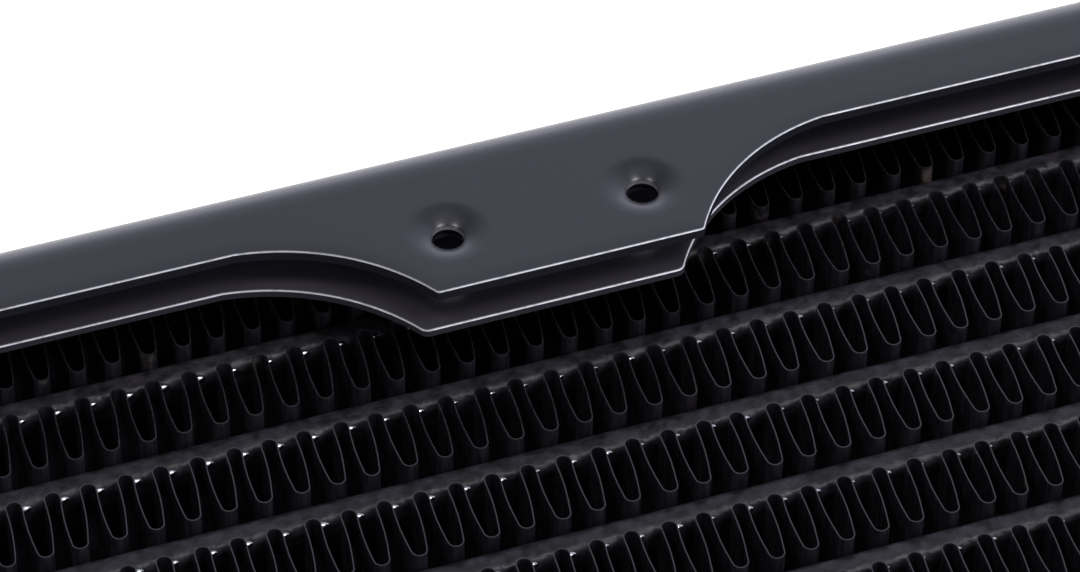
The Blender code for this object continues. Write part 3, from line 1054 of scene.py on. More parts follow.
@dataclass
class FoldedSheet:
    """A long sheet whose two long edges are folded in as flanges with scalloped screw tabs.

    The flat blank's coordinates are X and the run, which is measured across the blank from the tab
    edge of the upper flange, round both bends, to the tab edge of the lower one.
    """

    name: str
    node: str
    side: Side
    sheet: float
    bend_radius: float
    corner: float
    finish: Finish
    slot: str
    shift: float = 0.0
    screws: Sequence[float] = ()
    screw_y: float = 0.0
    layout: Layout = field(default_factory=Layout)

    tab_past_screw: float = 2.65 * MM
    narrow_past_tab: float = 8.4 * MM
    arc_run: float = 12.6 * MM
    arc_radius: float = 16.9 * MM
    arc_steps: int = 22
    corner_steps: int = 5
    bevel: float = 0.1 * MM
    support: float = 0.1 * MM
    bend_steps: int = 12
    flat_support: float = 0.35 * MM
    roll_over: float = 0.05 * MM
    roll_width: float = 1.4 * MM
    roll_steps: int = 5
    dimple_radius: float = 3.3 * MM
    dimple_slope: float = math.radians(28)  # at the rim of the hole
    dimple_power: float = 2.0
    dimple_steps: int = 12
    hole_radius: float = 1.17 * MM
    thread_radius: float = 1.4 * MM
    lip: float = 0.24 * MM
    lip_steps: int = 5
    lip_bare: float = 0.1
    worn_wall: float = 0.06 * MM  # the screws have rubbed the top of a hole's wall this far down
    wall_bare: float = 0.5
    collar_radius: float = 2.2 * MM
    collar_reach: float = 1.9 * MM
    ring_sides: int = 48
    thread_pitch: float = 0.5 * MM
    thread_depth: float = 0.25 * MM
    thread_sides: int = 24

    SHARP = math.radians(20)  # a blank's corner that turns by less isn't rounded
    SLACK = 0.01 * MM

    def __post_init__(self) -> None:
        """Reads the sheet's box and works out its flat lengths."""
        self.low, self.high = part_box(self.node)
        ends = (self.low.y, self.high.y)
        self.tab_y, self.outer_y = sorted(abs(y) for y in ends)
        self.flange = self.outer_y - self.bend_radius - self.tab_y
        self.bend = math.pi / 2 * self.bend_radius
        self.half_run = self.flange + self.bend + (self.high.z - self.low.z) / 2 - self.bend_radius

    def folded(self, x: float, run: float, depth: float) -> Vector:
        """Bends a point of the blank into place.

        Args:
            x: Its X.
            run: Its run across the blank.
            depth: How far it lies below the sheet's outer skin.

        Returns:
            Its place.
        """
        upper = run < self.half_run
        out = run if upper else 2 * self.half_run - run
        angle = min(max((out - self.flange) / self.bend_radius, 0), math.pi / 2)
        inner = self.bend_radius - depth
        y = self.tab_y + min(out, self.flange) + inner * math.sin(angle)
        below = self.bend_radius - inner * math.cos(angle) + max(out - self.flange - self.bend, 0)
        z = self.high.z - below if upper else self.low.z + below
        return Vector((x, self.side.value * y, z))

    def edge(self) -> list[Vector]:
        """Draws the upper flange's scalloped edge.

        Returns:
            Its points, from the low end of X to the high end.
        """
        reach = self.layout.screw_spacing / 2 - self.tab_past_screw
        points = [Vector((self.low.x, 0))]
        for middle in self.layout.fan_middles:
            start = middle + self.shift - reach
            finish = (start + self.arc_run, self.narrow_past_tab)
            there = arc((start, 0), finish, self.arc_radius, self.arc_steps)
            back = [Vector((2 * (middle + self.shift) - p.x, p.y)) for p in reversed(there)]
            points += there + back
        return [*points, Vector((self.high.x, 0))]

    def outline(self) -> list[Vector]:
        """Draws the blank's outline.

        Returns:
            Its points in millimetres, with the blank on their left.
        """
        near = self.edge()
        far = [Vector((p.x, 2 * self.half_run - p.y)) for p in reversed(near)]
        return [p / MM for p in rounded(near + far, self.corner, self.corner_steps, self.SHARP)]

    def bend_lines(self) -> list[float]:
        """Finds the runs at which the blank is creased.

        Returns:
            The runs, in millimetres.
        """
        first = [self.flange - self.flat_support]
        first += [self.flange + self.bend * n / self.bend_steps for n in range(self.bend_steps + 1)]
        first += [self.flange + self.bend + self.flat_support]
        return [run / MM for run in first + [2 * self.half_run - run for run in first]]

    def screw_spots(self) -> list[Vector]:
        """Returns the blank's place of each screw hole, in millimetres."""
        run = self.screw_y - self.tab_y
        return [Vector((x, r)) / MM for x in self.screws for r in (run, 2 * self.half_run - run)]

    def blank(self) -> tuple[list[Vector], list[tuple[int, int, int]]]:
        """Cuts the blank into triangles that follow its edges, its creases and its holes.

        Returns:
            Points in millimetres, and triangles of their numbers.
        """
        outline = self.outline()
        loops = [outline]
        depths = [self.bevel + self.roll_width * n / self.roll_steps for n in range(self.roll_steps + 1)]
        loops += [inset(outline, depth / MM) for depth in depths]
        for spot in self.screw_spots():
            for radius in (self.dimple_radius, self.dimple_radius + self.flat_support):
                loops.append(circle(spot, radius / MM, self.ring_sides))
        points, edges = [], []
        for loop in loops:
            first, count = len(points), len(loop)
            points += loop
            edges += [(first + n, first + (n + 1) % count) for n in range(count)]
        for run in self.bend_lines():
            edges.append((len(points), len(points) + 1))
            points += [Vector((x / MM, run)) for x in (self.low.x, self.high.x)]
        found, _, faces, *_ = delaunay_2d_cdt(points, edges, [], 0, 1e-5)
        kept = []
        for face in faces:
            middle = sum((found[n] for n in face), Vector((0, 0))) / 3
            in_hole = any((middle - spot).length < self.dimple_radius / MM for spot in self.screw_spots())
            if not in_hole and inside(middle, outline):
                kept.append(tuple(face))
        return found, kept

    @property
    def rim(self) -> float:
        """The radius at which a dimple's slope rounds over into its hole."""
        return self.hole_radius + self.lip * (1 - math.sin(self.dimple_slope))

    @property
    def dimple_depth(self) -> float:
        """How far the rim lies below the sheet's outer skin."""
        return math.tan(self.dimple_slope) * (self.dimple_radius - self.rim) / self.dimple_power

    @property
    def thread_start(self) -> float:
        """How far a screw hole's thread starts below the sheet's outer skin."""
        return self.dimple_depth + self.worn_wall + 3 * self.lip

    def dimple(self) -> list[Turned]:
        """Draws the turned profile of a screw hole, from the dimple's edge to the collar's foot.

        Returns:
            Its points, as radius, depth and bareness.
        """
        rim, wide = self.rim, self.dimple_radius
        profile = []
        for n in range(self.dimple_steps):
            radius = wide + (rim - wide) * n / self.dimple_steps
            share = (wide - radius) / (wide - rim)
            profile.append((radius, self.dimple_depth * share**self.dimple_power, 0.0))
        for n in range(self.lip_steps + 1):
            angle = self.dimple_slope + (math.pi / 2 - self.dimple_slope) * n / self.lip_steps
            radius = rim - self.lip * (math.sin(angle) - math.sin(self.dimple_slope))
            drop = self.lip * (math.cos(self.dimple_slope) - math.cos(angle))
            bare = self.lip_bare if 2 * n > self.lip_steps else 0.0
            profile.append((radius, self.dimple_depth + drop, bare))
        bottom, outer, sheet = self.collar_reach, self.collar_radius, self.sheet
        worn = self.dimple_depth + self.lip + self.worn_wall
        profile += [(self.hole_radius, worn, self.wall_bare)]
        profile += [(self.hole_radius, worn + 0.5 * self.lip, 0.0)]
        thread, start = self.thread_radius, self.thread_start
        profile += [(thread, start, 0.0), (thread, bottom - self.lip, 0.0)]
        profile += [(thread + self.lip, bottom, 0.0), (outer - self.lip, bottom, 0.0)]
        profile += [(outer, bottom - self.lip, 0.0), (outer, sheet + 2.2 * self.lip, 0.0)]
        profile += [(outer + self.lip, sheet + self.lip, 0.0), (outer + 3 * self.lip, sheet, 0.0)]
        return [*profile, (wide, sheet, 0.0)]

    def shape(self) -> Clay:
        """Makes the folded sheet's closed mesh.

        Returns:
            The mesh in the making.
        """
        clay = Clay()
        points, faces = self.blank()
        edges = {}
        for face in faces:
            for pair in zip(face, (*face[1:], face[0])):
                edges[frozenset(pair)] = None if frozenset(pair) in edges else pair
        rim = [pair for pair in edges.values() if pair]
        spots = self.screw_spots()
        reach = (self.dimple_radius + self.SLACK) / MM
        hole = {n: s for pair in rim for n in pair for s in spots if (points[n] - s).length < reach}
        outer = {n for pair in rim for n in pair} - hole.keys()
        depths = (self.bevel + self.support, self.sheet - self.bevel - self.support)
        outline = self.outline()
        reach_of_roll = (self.bevel + self.roll_width) / MM
        used = sorted({n for face in faces for n in face})
        top, bottom = {}, {}
        for n in used:
            x, run = points[n] * MM
            roll = self.roll_over * max(0, 1 - distance_to(points[n], outline) / reach_of_roll) ** 2
            depth = roll + self.bevel * (n in outer)
            top[n] = clay.point(self.folded(x, run, depth), float(n in outer))
            bottom[n] = clay.point(self.folded(x, run, self.sheet - self.bevel * (n in outer)))
        for face in faces:
            clay.bm.faces.new([top[n] for n in face])
            clay.bm.faces.new([bottom[n] for n in reversed(face)])
        walls = {n: self._edge_wall(clay, points[n], top[n], bottom[n], depths) for n in outer}
        walls |= {n: self._hole_wall(clay, points[n], spot, top[n], bottom[n]) for n, spot in hole.items()}
        for first, second in rim:
            clay.skin(walls[second], walls[first], loop=False)
        return clay

    def _edge_wall(
        self,
        clay: Clay,
        point: Vector,
        top: bmesh.types.BMVert,
        bottom: bmesh.types.BMVert,
        depths: Sequence[float],
    ) -> Row:
        """Returns the points down the sheet's cut edge, from the upper skin to the lower."""
        x, run = point * MM
        return [top, *(clay.point(self.folded(x, run, depth)) for depth in depths), bottom]

    def _hole_wall(
        self,
        clay: Clay,
        point: Vector,
        spot: Vector,
        top: bmesh.types.BMVert,
        bottom: bmesh.types.BMVert,
    ) -> Row:
        """Adds the points down a screw hole's dimple, wall and collar.

        Args:
            clay: The mesh in the making.
            point: The blank's point on the dimple's edge, in millimetres.
            spot: The hole's middle, in millimetres.
            top: The point on the upper skin.
            bottom: The point on the lower skin.

        Returns:
            The points, from the upper skin to the lower.
        """
        spoke = (point - spot).normalized()
        wall = [top]
        for radius, depth, bare in self.dimple()[1:-1]:
            x, run = spot * MM + spoke * radius
            wall.append(clay.point(self.folded(x, run, depth), bare))
        return [*wall, bottom]

    def build(self, shop: Workshop) -> None:
        """Makes the sheet, with a thread in each screw hole.

        Args:
            shop: Where the piece is finished.
        """
        clay = self.shape()
        if self.screws:
            start = self.thread_start
            ridge = ThreadRidge(
                f"{self.name}_thread",
                self.thread_radius,
                self.thread_radius - self.thread_depth,
                self.thread_pitch,
                self.collar_reach - start - self.lip,
                self.thread_sides,
            ).cast(shop.material(self.finish))
            for x in self.screws:
                y = self.side.value * self.screw_y
                upper = Matrix.Translation((x, y, self.high.z - self.collar_reach + self.lip))
                lower = Matrix.Translation((x, y, self.low.z + start))
                clay.add(ridge, upper)
                clay.add(ridge, lower)
        shop.deliver(clay.cast(self.name), self.finish, self.node)


# ---- Core ---------------------------------------------------------------------------------------


@dataclass
class Fins:
    """The rows of folded foil between the tubes."""

    layout: Layout
    count: int = 15
    pitch: float = 2.67 * MM
    lean: float = 0.435 * MM
    bend_radius: float = 0.57 * MM
    sheet: float = 0.09 * MM
    bow: float = 0.13 * MM
    jitter: float = 0.1 * MM
    arc_steps: int = 8
    leg_steps: int = 4
    bead: tuple[float, float, float] = (0.55 * MM, 0.27 * MM, 0.24 * MM)
    bead_tilt: float = math.radians(30)
    bead_place: tuple[float, float, float] = (0.88 * MM, 0.27 * MM, -1.36 * MM)  # from the bend's top
    bead_sizes: tuple[float, float] = (0.75, 1.15)  # the smallest and the largest, as shares of bead
    seed: int = 11

    SIZES = ("Pitch", "Lean", "Half Height", "Radius", "Sheet", "Depth", "Bow", "Jitter", "X", "Y", "Z")

    def recipe(self) -> Recipe:
        """Builds the tree that folds one strip of foil.

        Along the strip, each half wave is a round bend about its apex and then a leg to the next.
        Even half waves have their apex on the far side, odd ones on the near side.

        Returns:
            The tree.
        """
        sizes = {label: float for label in self.SIZES}
        tree = Recipe("folded_fin", {**sizes, "Half Waves": int, "Seed": int})
        half_height, radius = tree.given("Half Height"), tree.given("Radius")
        pitch, lean = tree.given("Pitch"), tree.given("Lean")
        steps = self.arc_steps + self.leg_steps
        index = tree.node("GeometryNodeInputIndex")
        wave = (index / steps).floor()
        within = index - wave * steps
        odd = wave % 2
        angle = (within / self.arc_steps).clamp() * math.pi
        leg = ((within - self.arc_steps) / self.leg_steps).clamp()
        here, after = (self.wander(tree, wave + n) for n in (0, 1))
        apex = wave * pitch / 2 - odd * lean + here
        run = pitch / 2 - lean + 2 * lean * odd - 2 * radius + after - here
        bowed = (leg * math.pi).sin() * tree.given("Bow") * (2 * odd - 1)
        x = tree.given("X") + apex - radius * angle.cos() + leg * run + bowed
        straight = half_height - radius
        y = (1 - 2 * odd) * (straight + radius * angle.sin() - 2 * straight * leg)
        spot = tree.vector(x, tree.given("Y") + y, tree.given("Z"))
        line = tree.node("GeometryNodeMeshLine", {"mode": "OFFSET"}, tree.given("Half Waves") * steps)
        placed = tree.node("GeometryNodeSetPosition", None, line, Position=spot)
        strip = tree.node("GeometryNodeMeshToCurve", None, placed)
        upright = tree.node("GeometryNodeSetCurveNormal", {"mode": "Z_UP"}, strip)
        across, down = tree.given("Sheet"), tree.given("Depth")
        section = tree.node("GeometryNodeCurvePrimitiveQuadrilateral", None, across, down)
        tree.close(tree.node("GeometryNodeCurveToMesh", None, upright, section, Fill_Caps=True))
        return tree

    def bead_recipe(self) -> Recipe:
        """Builds the tree that sets a flat bead of solder beside each bend on the far side of a strip.

        Returns:
            The tree.
        """
        sizes = {label: float for label in ("Pitch", "Jitter", "X", "Y", "Z")}
        tree = Recipe("solder_bead_row", {**sizes, "Count": int, "Seed": int})
        index = tree.node("GeometryNodeInputIndex")
        x = tree.given("X") + index * tree.given("Pitch") + self.wander(tree, index * 2)
        spot = tree.vector(x, tree.given("Y"), tree.given("Z"))
        line = tree.node("GeometryNodeMeshLine", {"mode": "OFFSET"}, tree.given("Count"))
        spots = tree.node("GeometryNodeSetPosition", None, line, Position=spot)
        ball = tree.node("GeometryNodeMeshIcoSphere", None, 1.0, 2)
        smooth = tree.node("GeometryNodeSetShadeSmooth", None, ball)
        turn = (self.bead_tilt, 0.0, 0.0)
        bead = tree.node("GeometryNodeTransform", None, smooth, Rotation=turn, Scale=self.bead)
        spread = {"ID": index, "Seed": tree.given("Seed")}
        size = tree.node("FunctionNodeRandomValue", {"data_type": "FLOAT"}, *self.bead_sizes, **spread)
        tree.close(tree.node("GeometryNodeInstanceOnPoints", None, spots, Instance=bead, Scale=size))
        return tree

    def wander(self, tree: Recipe, wave: Wire) -> Wire:
        """Finds how far the apex of a half wave strays along X.

        Args:
            tree: The tree that folds the strip.
            wave: The half wave's number.

        Returns:
            The distance.
        """
        jitter = tree.given("Jitter")
        named = {"ID": wave, "Seed": tree.given("Seed")}
        return tree.node("FunctionNodeRandomValue", {"data_type": "FLOAT"}, -1.0, 1.0, **named) * jitter

    def build(self, shop: Workshop) -> None:
        """Makes every row.

        Args:
            shop: Where the pieces are finished.
        """
        low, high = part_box("fin_01")
        finish = FoilPaint("fin_foil_paint", self.layout.middle_z, (high.z - low.z) / 2, self.layout.screw_y)
        tree, bead_tree = self.recipe(), self.bead_recipe()
        bead_finish = Metal("bead_dull_solder", (0.5, 0.5, 0.52), (0.3, 0.3, 0.31), 0.2)
        beads = Clay()
        draw = random.Random(self.seed)
        for number in range(1, self.count + 1):
            node = f"fin_{number:02d}"
            low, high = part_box(node)
            phase = draw.uniform(0, self.pitch)
            length = high.x - low.x - phase
            mesh = tree.cast(
                f"folded_{node}",
                shop.material(finish),
                Pitch=self.pitch,
                Lean=self.lean,
                Half_Height=(high.y - low.y - self.sheet) / 2,
                Radius=self.bend_radius,
                Sheet=self.sheet,
                Depth=high.z - low.z,
                Bow=self.bow,
                Jitter=self.jitter,
                X=low.x + phase,
                Y=(low.y + high.y) / 2,
                Z=(low.z + high.z) / 2,
                Half_Waves=int((length - self.pitch) / self.pitch * 2),
                Seed=self.seed + number,
            )
            shop.deliver(smoothed(mesh, Clay.CREASE), finish, node)
            if number == self.count:
                continue
            row = bead_tree.cast(
                f"bead_row_{number:02d}",
                shop.material(bead_finish),
                Pitch=self.pitch,
                Jitter=self.jitter,
                X=low.x + phase + self.bead_place[0],
                Y=high.y + self.bead_place[1],
                Z=high.z + self.bead_place[2],
                Count=int((length - self.pitch) / self.pitch),
                Seed=self.seed + number,
            )
            beads.add(row, Matrix.Identity(4))
        shop.deliver(beads.cast("fin_solder_beads"), bead_finish)


@dataclass
class Tubes:
    """The flat tubes, with noses that the paint and solder have left slightly uneven."""

    layout: Layout
    count: int = 14
    wall: float = 0.4 * MM
    nose: float = 0.85 * MM  # the radius of a nose's two edges
    nose_steps: int = 6
    flat: float = 0.05 * MM  # half of the least width that stays flat between a nose's edges
    station: float = 1.6 * MM
    ripple: float = 0.035 * MM
    seed: int = 5

    def section(self, half_thickness: float, half_depth: float) -> list[Vector]:
        """Draws a tube's outline across Y and Z, with a rounded nose above and below.

        Args:
            half_thickness: Half of its size along Y.
            half_depth: Half of its size along Z.

        Returns:
            Its points.
        """
        radius = min(self.nose, half_thickness - self.flat)
        points = []
        for quarter, (y, z) in enumerate(((1, 1), (-1, 1), (-1, -1), (1, -1))):
            middle = Vector((y * (half_thickness - radius), z * (half_depth - radius)))
            for n in range(self.nose_steps + 1):
                angle = math.pi / 2 * (quarter + n / self.nose_steps)
                points.append(middle + radius * Vector((math.cos(angle), math.sin(angle))))
        return points

    def build(self, shop: Workshop) -> None:
        """Makes every tube.

        Args:
            shop: Where the pieces are finished.
        """
        finish = SatinPaint(
            "tube_rough_paint",
            colour=(0.0125, 0.0112, 0.0145),
            roughness=0.44,
            spread=0.12,
            specular=0.27,
            grain_size=0.22 * MM,
            grain_depth=0.012 * MM,
            peel_size=0.8 * MM,
            peel_depth=0.16 * MM,
            dust=0.8,
            mottle=0.65,
            mottle_size=1.1 * MM,
        )
        draw = random.Random(self.seed)
        for number in range(1, self.count + 1):
            node = f"tube_{number:02d}"
            low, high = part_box(node)
            middle, half = (low + high) / 2, (high - low) / 2
            clay = Clay()
            stations = round(2 * half.x / self.station)
            rings = []
            for n in range(stations + 1):
                x = low.x + 2 * half.x * n / stations
                swell = self.ripple * draw.uniform(-1, 0)
                ring = []
                for y, z in self.section(half.y, half.z + swell):
                    ring.append(clay.point((x, middle.y + y, middle.z + z)))
                rings.append(ring)
            bore = self.section(half.y - self.wall, half.z - self.wall)
            for x in (high.x, low.x):
                rings.append([clay.point((x, middle.y + y, middle.z + z)) for y, z in bore])
            for first, second in zip(rings, [*rings[1:], rings[0]]):
                clay.skin(first, second, loop=True)
            shop.deliver(clay.cast(f"flat_{node}"), finish, node)


# ---- Tanks and header plates --------------------------------------------------------------------


@dataclass
class Port:
    """A threaded bush in a tank's wall, and the screw plug with its seal where it has one."""

    label: str
    outward: Outward
    tank: str
    plugged: bool

    bore: float = 5.72 * MM
    root: float = 6.5 * MM
    sleeve: float = 8.42 * MM
    flange: float = 10.12 * MM
    seat: float = 7.92 * MM
    height: float = 1.5 * MM
    foot: float = 0.15 * MM
    seat_depth: float = 1.6 * MM
    depth: float = 8.0 * MM
    pitch: float = 1.337 * MM
    chamfer: float = 0.3 * MM
    ring_radius: float = 6.82 * MM
    ring_wire: float = 0.8 * MM
    ring_rest: float = 0.8 * MM
    head: float = 9.12 * MM
    head_low: float = 1.8 * MM
    head_high: float = 4.0 * MM
    core: float = 5.6 * MM
    crest: float = 6.3 * MM
    shank: float = 7.5 * MM
    slot_width: float = 2.0 * MM
    slot_depth: float = 1.3 * MM
    plug_lead: float = 0.8 * MM  # the plain ends of the plug's thread
    plug_neck: float = 0.3 * MM
    plug_foot: float = 0.2 * MM  # the bevel under the plug's head
    plug_round: float = 0.5 * MM
    plug_broken: float = 0.12 * MM  # the broken edges of the coin slot
    thread_short: float = 2.0 * MM  # how much shorter the plug's thread is than its shank
    bead: float = 0.35 * MM
    sides: int = 72
    round_steps: int = 5
    wire_steps: int = 20

    def __post_init__(self) -> None:
        """Finds the port's place: its origin on the tank's wall, its Z out of the port."""
        low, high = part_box(f"port_{self.label}")
        turn = self.outward.turn()
        way = turn @ Vector((0, 0, 1))
        middle = (low + high) / 2
        reach = abs((high - low).dot(way)) / 2
        self.place = Matrix.Translation(middle + way * (reach - self.height)) @ turn

    def bush(self, shop: Workshop, paint: Finish) -> None:
        """Makes the bush, with its thread and the solder round its flange.

        Args:
            shop: Where the pieces are finished.
            paint: The finish of both.
        """
        clay = Clay()
        low, high, cut = -self.depth, self.height, self.chamfer
        floor = high - self.seat_depth
        clay.turned(
            [
                (self.root, low + cut, 1),
                (self.root + cut, low, 1),
                (self.sleeve - cut, low, 0),
                (self.sleeve, low + cut, 0),
                (self.sleeve, self.foot, 0),
                (self.flange, self.foot, 0),
                (self.flange, high - cut, 0),
                (self.flange - 0.35 * cut, high - 0.35 * cut, 0),
                (self.flange - cut, high, 0),
                (self.seat + 2 * cut, high, 0),
                (self.seat + 1.6 * cut, high, 1),
                (self.seat + cut, high, 1),
                (self.seat, high - cut, 1),
                (self.seat, floor + 0.5 * cut, 1),
                (self.seat - 0.5 * cut, floor, 1),
                (self.root + 1.5 * cut, floor, 1),
                (self.root, floor - 1.5 * cut, 1),
            ],
            self.sides,
            self.place,
        )
        metal = shop.material(paint)
        length = self.depth + floor - 2 * cut
        ridge = ThreadRidge(f"bush_thread_{self.label}", self.root, self.bore, self.pitch, length)
        start = Matrix.Translation((0, 0, low + cut))
        clay.add(ridge.cast(metal), self.place @ start, 1.0)
        shop.deliver(clay.cast(f"bush_{self.label}"), paint, f"port_{self.label}")
        size = 2 * self.flange
        ring = SolderBead(f"bush_solder_{self.label}", size, size, self.flange, self.bead).cast(metal)
        ring.transform(self.place)
        shop.deliver(ring, paint)

    def blank(self) -> bpy.types.Mesh:
        """Makes the plug about its own axis, with a coin slot and without a thread.

        Returns:
            Its mesh.
        """
        clay = Clay()
        low, high, cut = self.head_low, self.head_high, self.plug_round
        tip, lead, neck, foot = low - self.shank, self.plug_lead, self.plug_neck, self.plug_foot
        steps = [(1 - math.sin(angle), 1 - math.cos(angle)) for angle in self.quarter()]
        fillet = [(self.head - cut * inwards, high - cut * down, 0) for inwards, down in steps]
        clay.turned(
            [
                (0, tip, 0),
                (self.core - lead, tip, 0),
                (self.core, tip + lead, 0),
                (self.core, low - lead, 0),
                (self.core - neck, low - lead + neck, 0),
                (self.core - neck, low, 0),
                (self.head - foot, low, 0),
                (self.head, low + foot, 0),
                *fillet,
                (self.head - 2.5 * cut, high, 0),
                (0, high, 0),
            ],
            self.sides,
            Matrix.Identity(4),
            closed=False,
        )
        block = Clay()
        bmesh.ops.create_cube(block.bm, size=1, matrix=self.slot_block())
        head = shown(clay.cast("plug_blank"))
        cutter = shown(block.cast("plug_slot"))
        cut_away(head, cutter)
        edges = head.modifiers.new("broken edges", "BEVEL")
        edges.width = self.plug_broken
        edges.segments = 2
        edges.limit_method = "ANGLE"
        edges.angle_limit = math.radians(50)
        mesh = frozen(head)
        bpy.data.objects.remove(cutter)
        return mesh

    def plug(self, shop: Workshop, finish: Finish) -> None:
        """Makes the plug, whose thread lies half a pitch from the bush's.

        Args:
            shop: Where the piece is finished.
            finish: Its finish.
        """
        whole = Clay()
        whole.add(self.blank(), self.place)
        length = self.shank - self.thread_short
        ridge = ThreadRidge(f"plug_thread_{self.label}", self.core, self.crest, self.pitch, length)
        # The bush's ridge passes local Z = -depth + chamfer at angle 0; this one starts at the next
        # whole number of pitches and a half above it.
        base = -self.depth + self.chamfer
        lowest = self.head_low - self.shank + self.plug_lead
        start = base + (math.ceil((lowest - base) / self.pitch - 0.5) + 0.5) * self.pitch
        whole.add(ridge.cast(shop.material(finish)), self.place @ Matrix.Translation((0, 0, start)))
        name = f"plug_{self.label}"
        shop.deliver(whole.cast(f"coin_{name}"), finish, name, name)

    def quarter(self) -> list[float]:
        """Returns the angles of a rounded edge's steps."""
        return [math.pi / 2 * (1 - n / self.round_steps) for n in range(self.round_steps + 1)]

    def slot_block(self) -> Matrix:
        """Sizes the block that cuts the coin slot.

        Returns:
            The matrix that makes a unit cube that block.
        """
        reach = 3 * self.head
        middle = Matrix.Translation((0, 0, self.head_high))
        return middle @ Matrix.Diagonal((reach, self.slot_width, 2 * self.slot_depth, 1))

    def ring(self, shop: Workshop, finish: Finish) -> None:
        """Makes the seal ring.

        Args:
            shop: Where the piece is finished.
            finish: Its finish.
        """
        clay = Clay()
        wire = circle(Vector((self.ring_radius, self.ring_rest)), self.ring_wire, self.wire_steps)
        clay.turned([(radius, height, 0) for radius, height in wire], self.sides, self.place)
        name = f"seal_{self.label}"
        shop.deliver(clay.cast(f"ring_{name}"), finish, name, name)


@dataclass
class Tank:
    """A drawn tank with rounded edges, soldered into its header plate."""

    end: End
    layout: Layout
    wall: float = 1.2 * MM
    corner: float = 6.0 * MM
    edge: float = 2.2 * MM
    seam: float = 0.75 * MM
    hole: float = 8.72 * MM
    steps: int = 8

    SEAM_BEAD = 0.62  # the radius of the seam's bead, as a share of the seam
    NEAR = 0.1 * MM

    @property
    def node(self) -> str:
        """The frame's node of this tank."""
        return f"tank_{self.end.name.lower()}"

    def build(self, shop: Workshop, paint: Finish, ports: Sequence[Port]) -> None:
        """Makes the tank, with a hole for each port and the solder round its mouth.

        Args:
            shop: Where the pieces are finished.
            paint: The tank's finish.
            ports: The ports in its walls.
        """
        tank = shown(self.drawn())
        shell = tank.modifiers.new("wall", "SOLIDIFY")
        shell.thickness = self.wall
        shell.offset = -1
        shell.use_even_offset = True
        cutter = shown(self.holes(ports))
        cut_away(tank, cutter)
        finished = smoothed(frozen(tank), Clay.CREASE)
        bpy.data.objects.remove(cutter)
        shop.deliver(finished, paint, self.node)
        self.solder(shop, paint)

    def drawn(self) -> bpy.types.Mesh:
        """Makes the tank's outer skin, open at its mouth.

        Returns:
            Its mesh.
        """
        low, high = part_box(self.node)
        mouth, back = (low.x, high.x) if self.end is End.PORT else (high.x, low.x)
        bm = bmesh.new()
        size = Matrix.Diagonal((*(high - low), 1))
        bmesh.ops.create_cube(bm, size=1, matrix=Matrix.Translation((low + high) / 2) @ size)
        front = [f for f in bm.faces if all(abs(v.co.x - mouth) < self.NEAR for v in f.verts)]
        bmesh.ops.delete(bm, geom=front, context="FACES_ONLY")
        along = [e for e in bm.edges if abs(e.verts[0].co.x - e.verts[1].co.x) > MM]
        round_off = {"profile": 0.5, "affect": "EDGES"}
        bmesh.ops.bevel(bm, geom=along, offset=self.corner, segments=self.steps, **round_off)
        end = [e for e in bm.edges if all(abs(v.co.x - back) < self.NEAR for v in e.verts)]
        bmesh.ops.bevel(bm, geom=end, offset=self.edge, segments=self.steps - 2, **round_off)
        bmesh.ops.recalc_face_normals(bm, faces=bm.faces)
        if sum(f.normal.dot(f.calc_center_median() - (low + high) / 2) for f in bm.faces) < 0:
            bmesh.ops.reverse_faces(bm, faces=bm.faces)
        mesh = bpy.data.meshes.new(f"drawn_{self.node}")
        bm.to_mesh(mesh)
        bm.free()
        return mesh

    def holes(self, ports: Sequence[Port]) -> bpy.types.Mesh:
        """Makes the cylinders that cut the ports' holes.

        Args:
            ports: The ports in the tank's walls.

        Returns:
            Their mesh.
        """
        cutters = Clay()
        for port in ports:
            bmesh.ops.create_cone(
                cutters.bm,
                cap_ends=True,
                segments=port.sides,
                radius1=self.hole,
                radius2=self.hole,
                depth=6 * self.wall,
                matrix=port.place,
            )
        return cutters.cast("port_holes")

    def solder(self, shop: Workshop, paint: Finish) -> None:
        """Makes the seam of solder between the tank and its header plate's rim.

        Args:
            shop: Where the piece is finished.
            paint: Its finish.
        """
        low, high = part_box(self.node)
        bead = SolderBead(
            f"seam_solder_{self.end.name.lower()}",
            high.y - low.y + self.seam,
            high.z - low.z + self.seam,
            self.corner + self.seam / 2,
            self.seam * self.SEAM_BEAD,
        ).cast(shop.material(paint))
        mouth = self.layout.middle_x + self.end.value * self.layout.half_length
        bead.transform(self.layout.across(mouth))
        shop.deliver(bead, paint)


@dataclass
class Headers:
    """The header plates' finish, and the solder round each tube where it enters one."""

    layout: Layout
    fillet: float = 0.3 * MM

    def build(self, shop: Workshop, paint: Finish, tubes: int) -> None:
        """Dresses both plates and solders the tubes in.

        Args:
            shop: Where the pieces are finished.
            paint: The plates' finish.
            tubes: Number of tubes.
        """
        first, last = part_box("tube_01"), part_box(f"tube_{tubes:02d}")
        spacing = (last[0].y - first[0].y) / (tubes - 1)
        size = first[1] - first[0]
        for end in End:
            node = f"header_plate_{end.name.lower()}"
            frame["nodes"][node].material_slots[0].material = shop.material(paint)
            low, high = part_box(node)
            face = low.x if end is End.PORT else high.x
            bead = SolderBead(
                f"tube_solder_{end.name.lower()}",
                size.y + self.fillet,
                size.z + self.fillet,
                size.y / 2,
                self.fillet,
                tubes,
                spacing,
                3 + end.value,
            ).cast(shop.material(paint))
            bead.transform(self.layout.across(face))
            shop.deliver(bead, paint)


# ---- Studio -------------------------------------------------------------------------------------


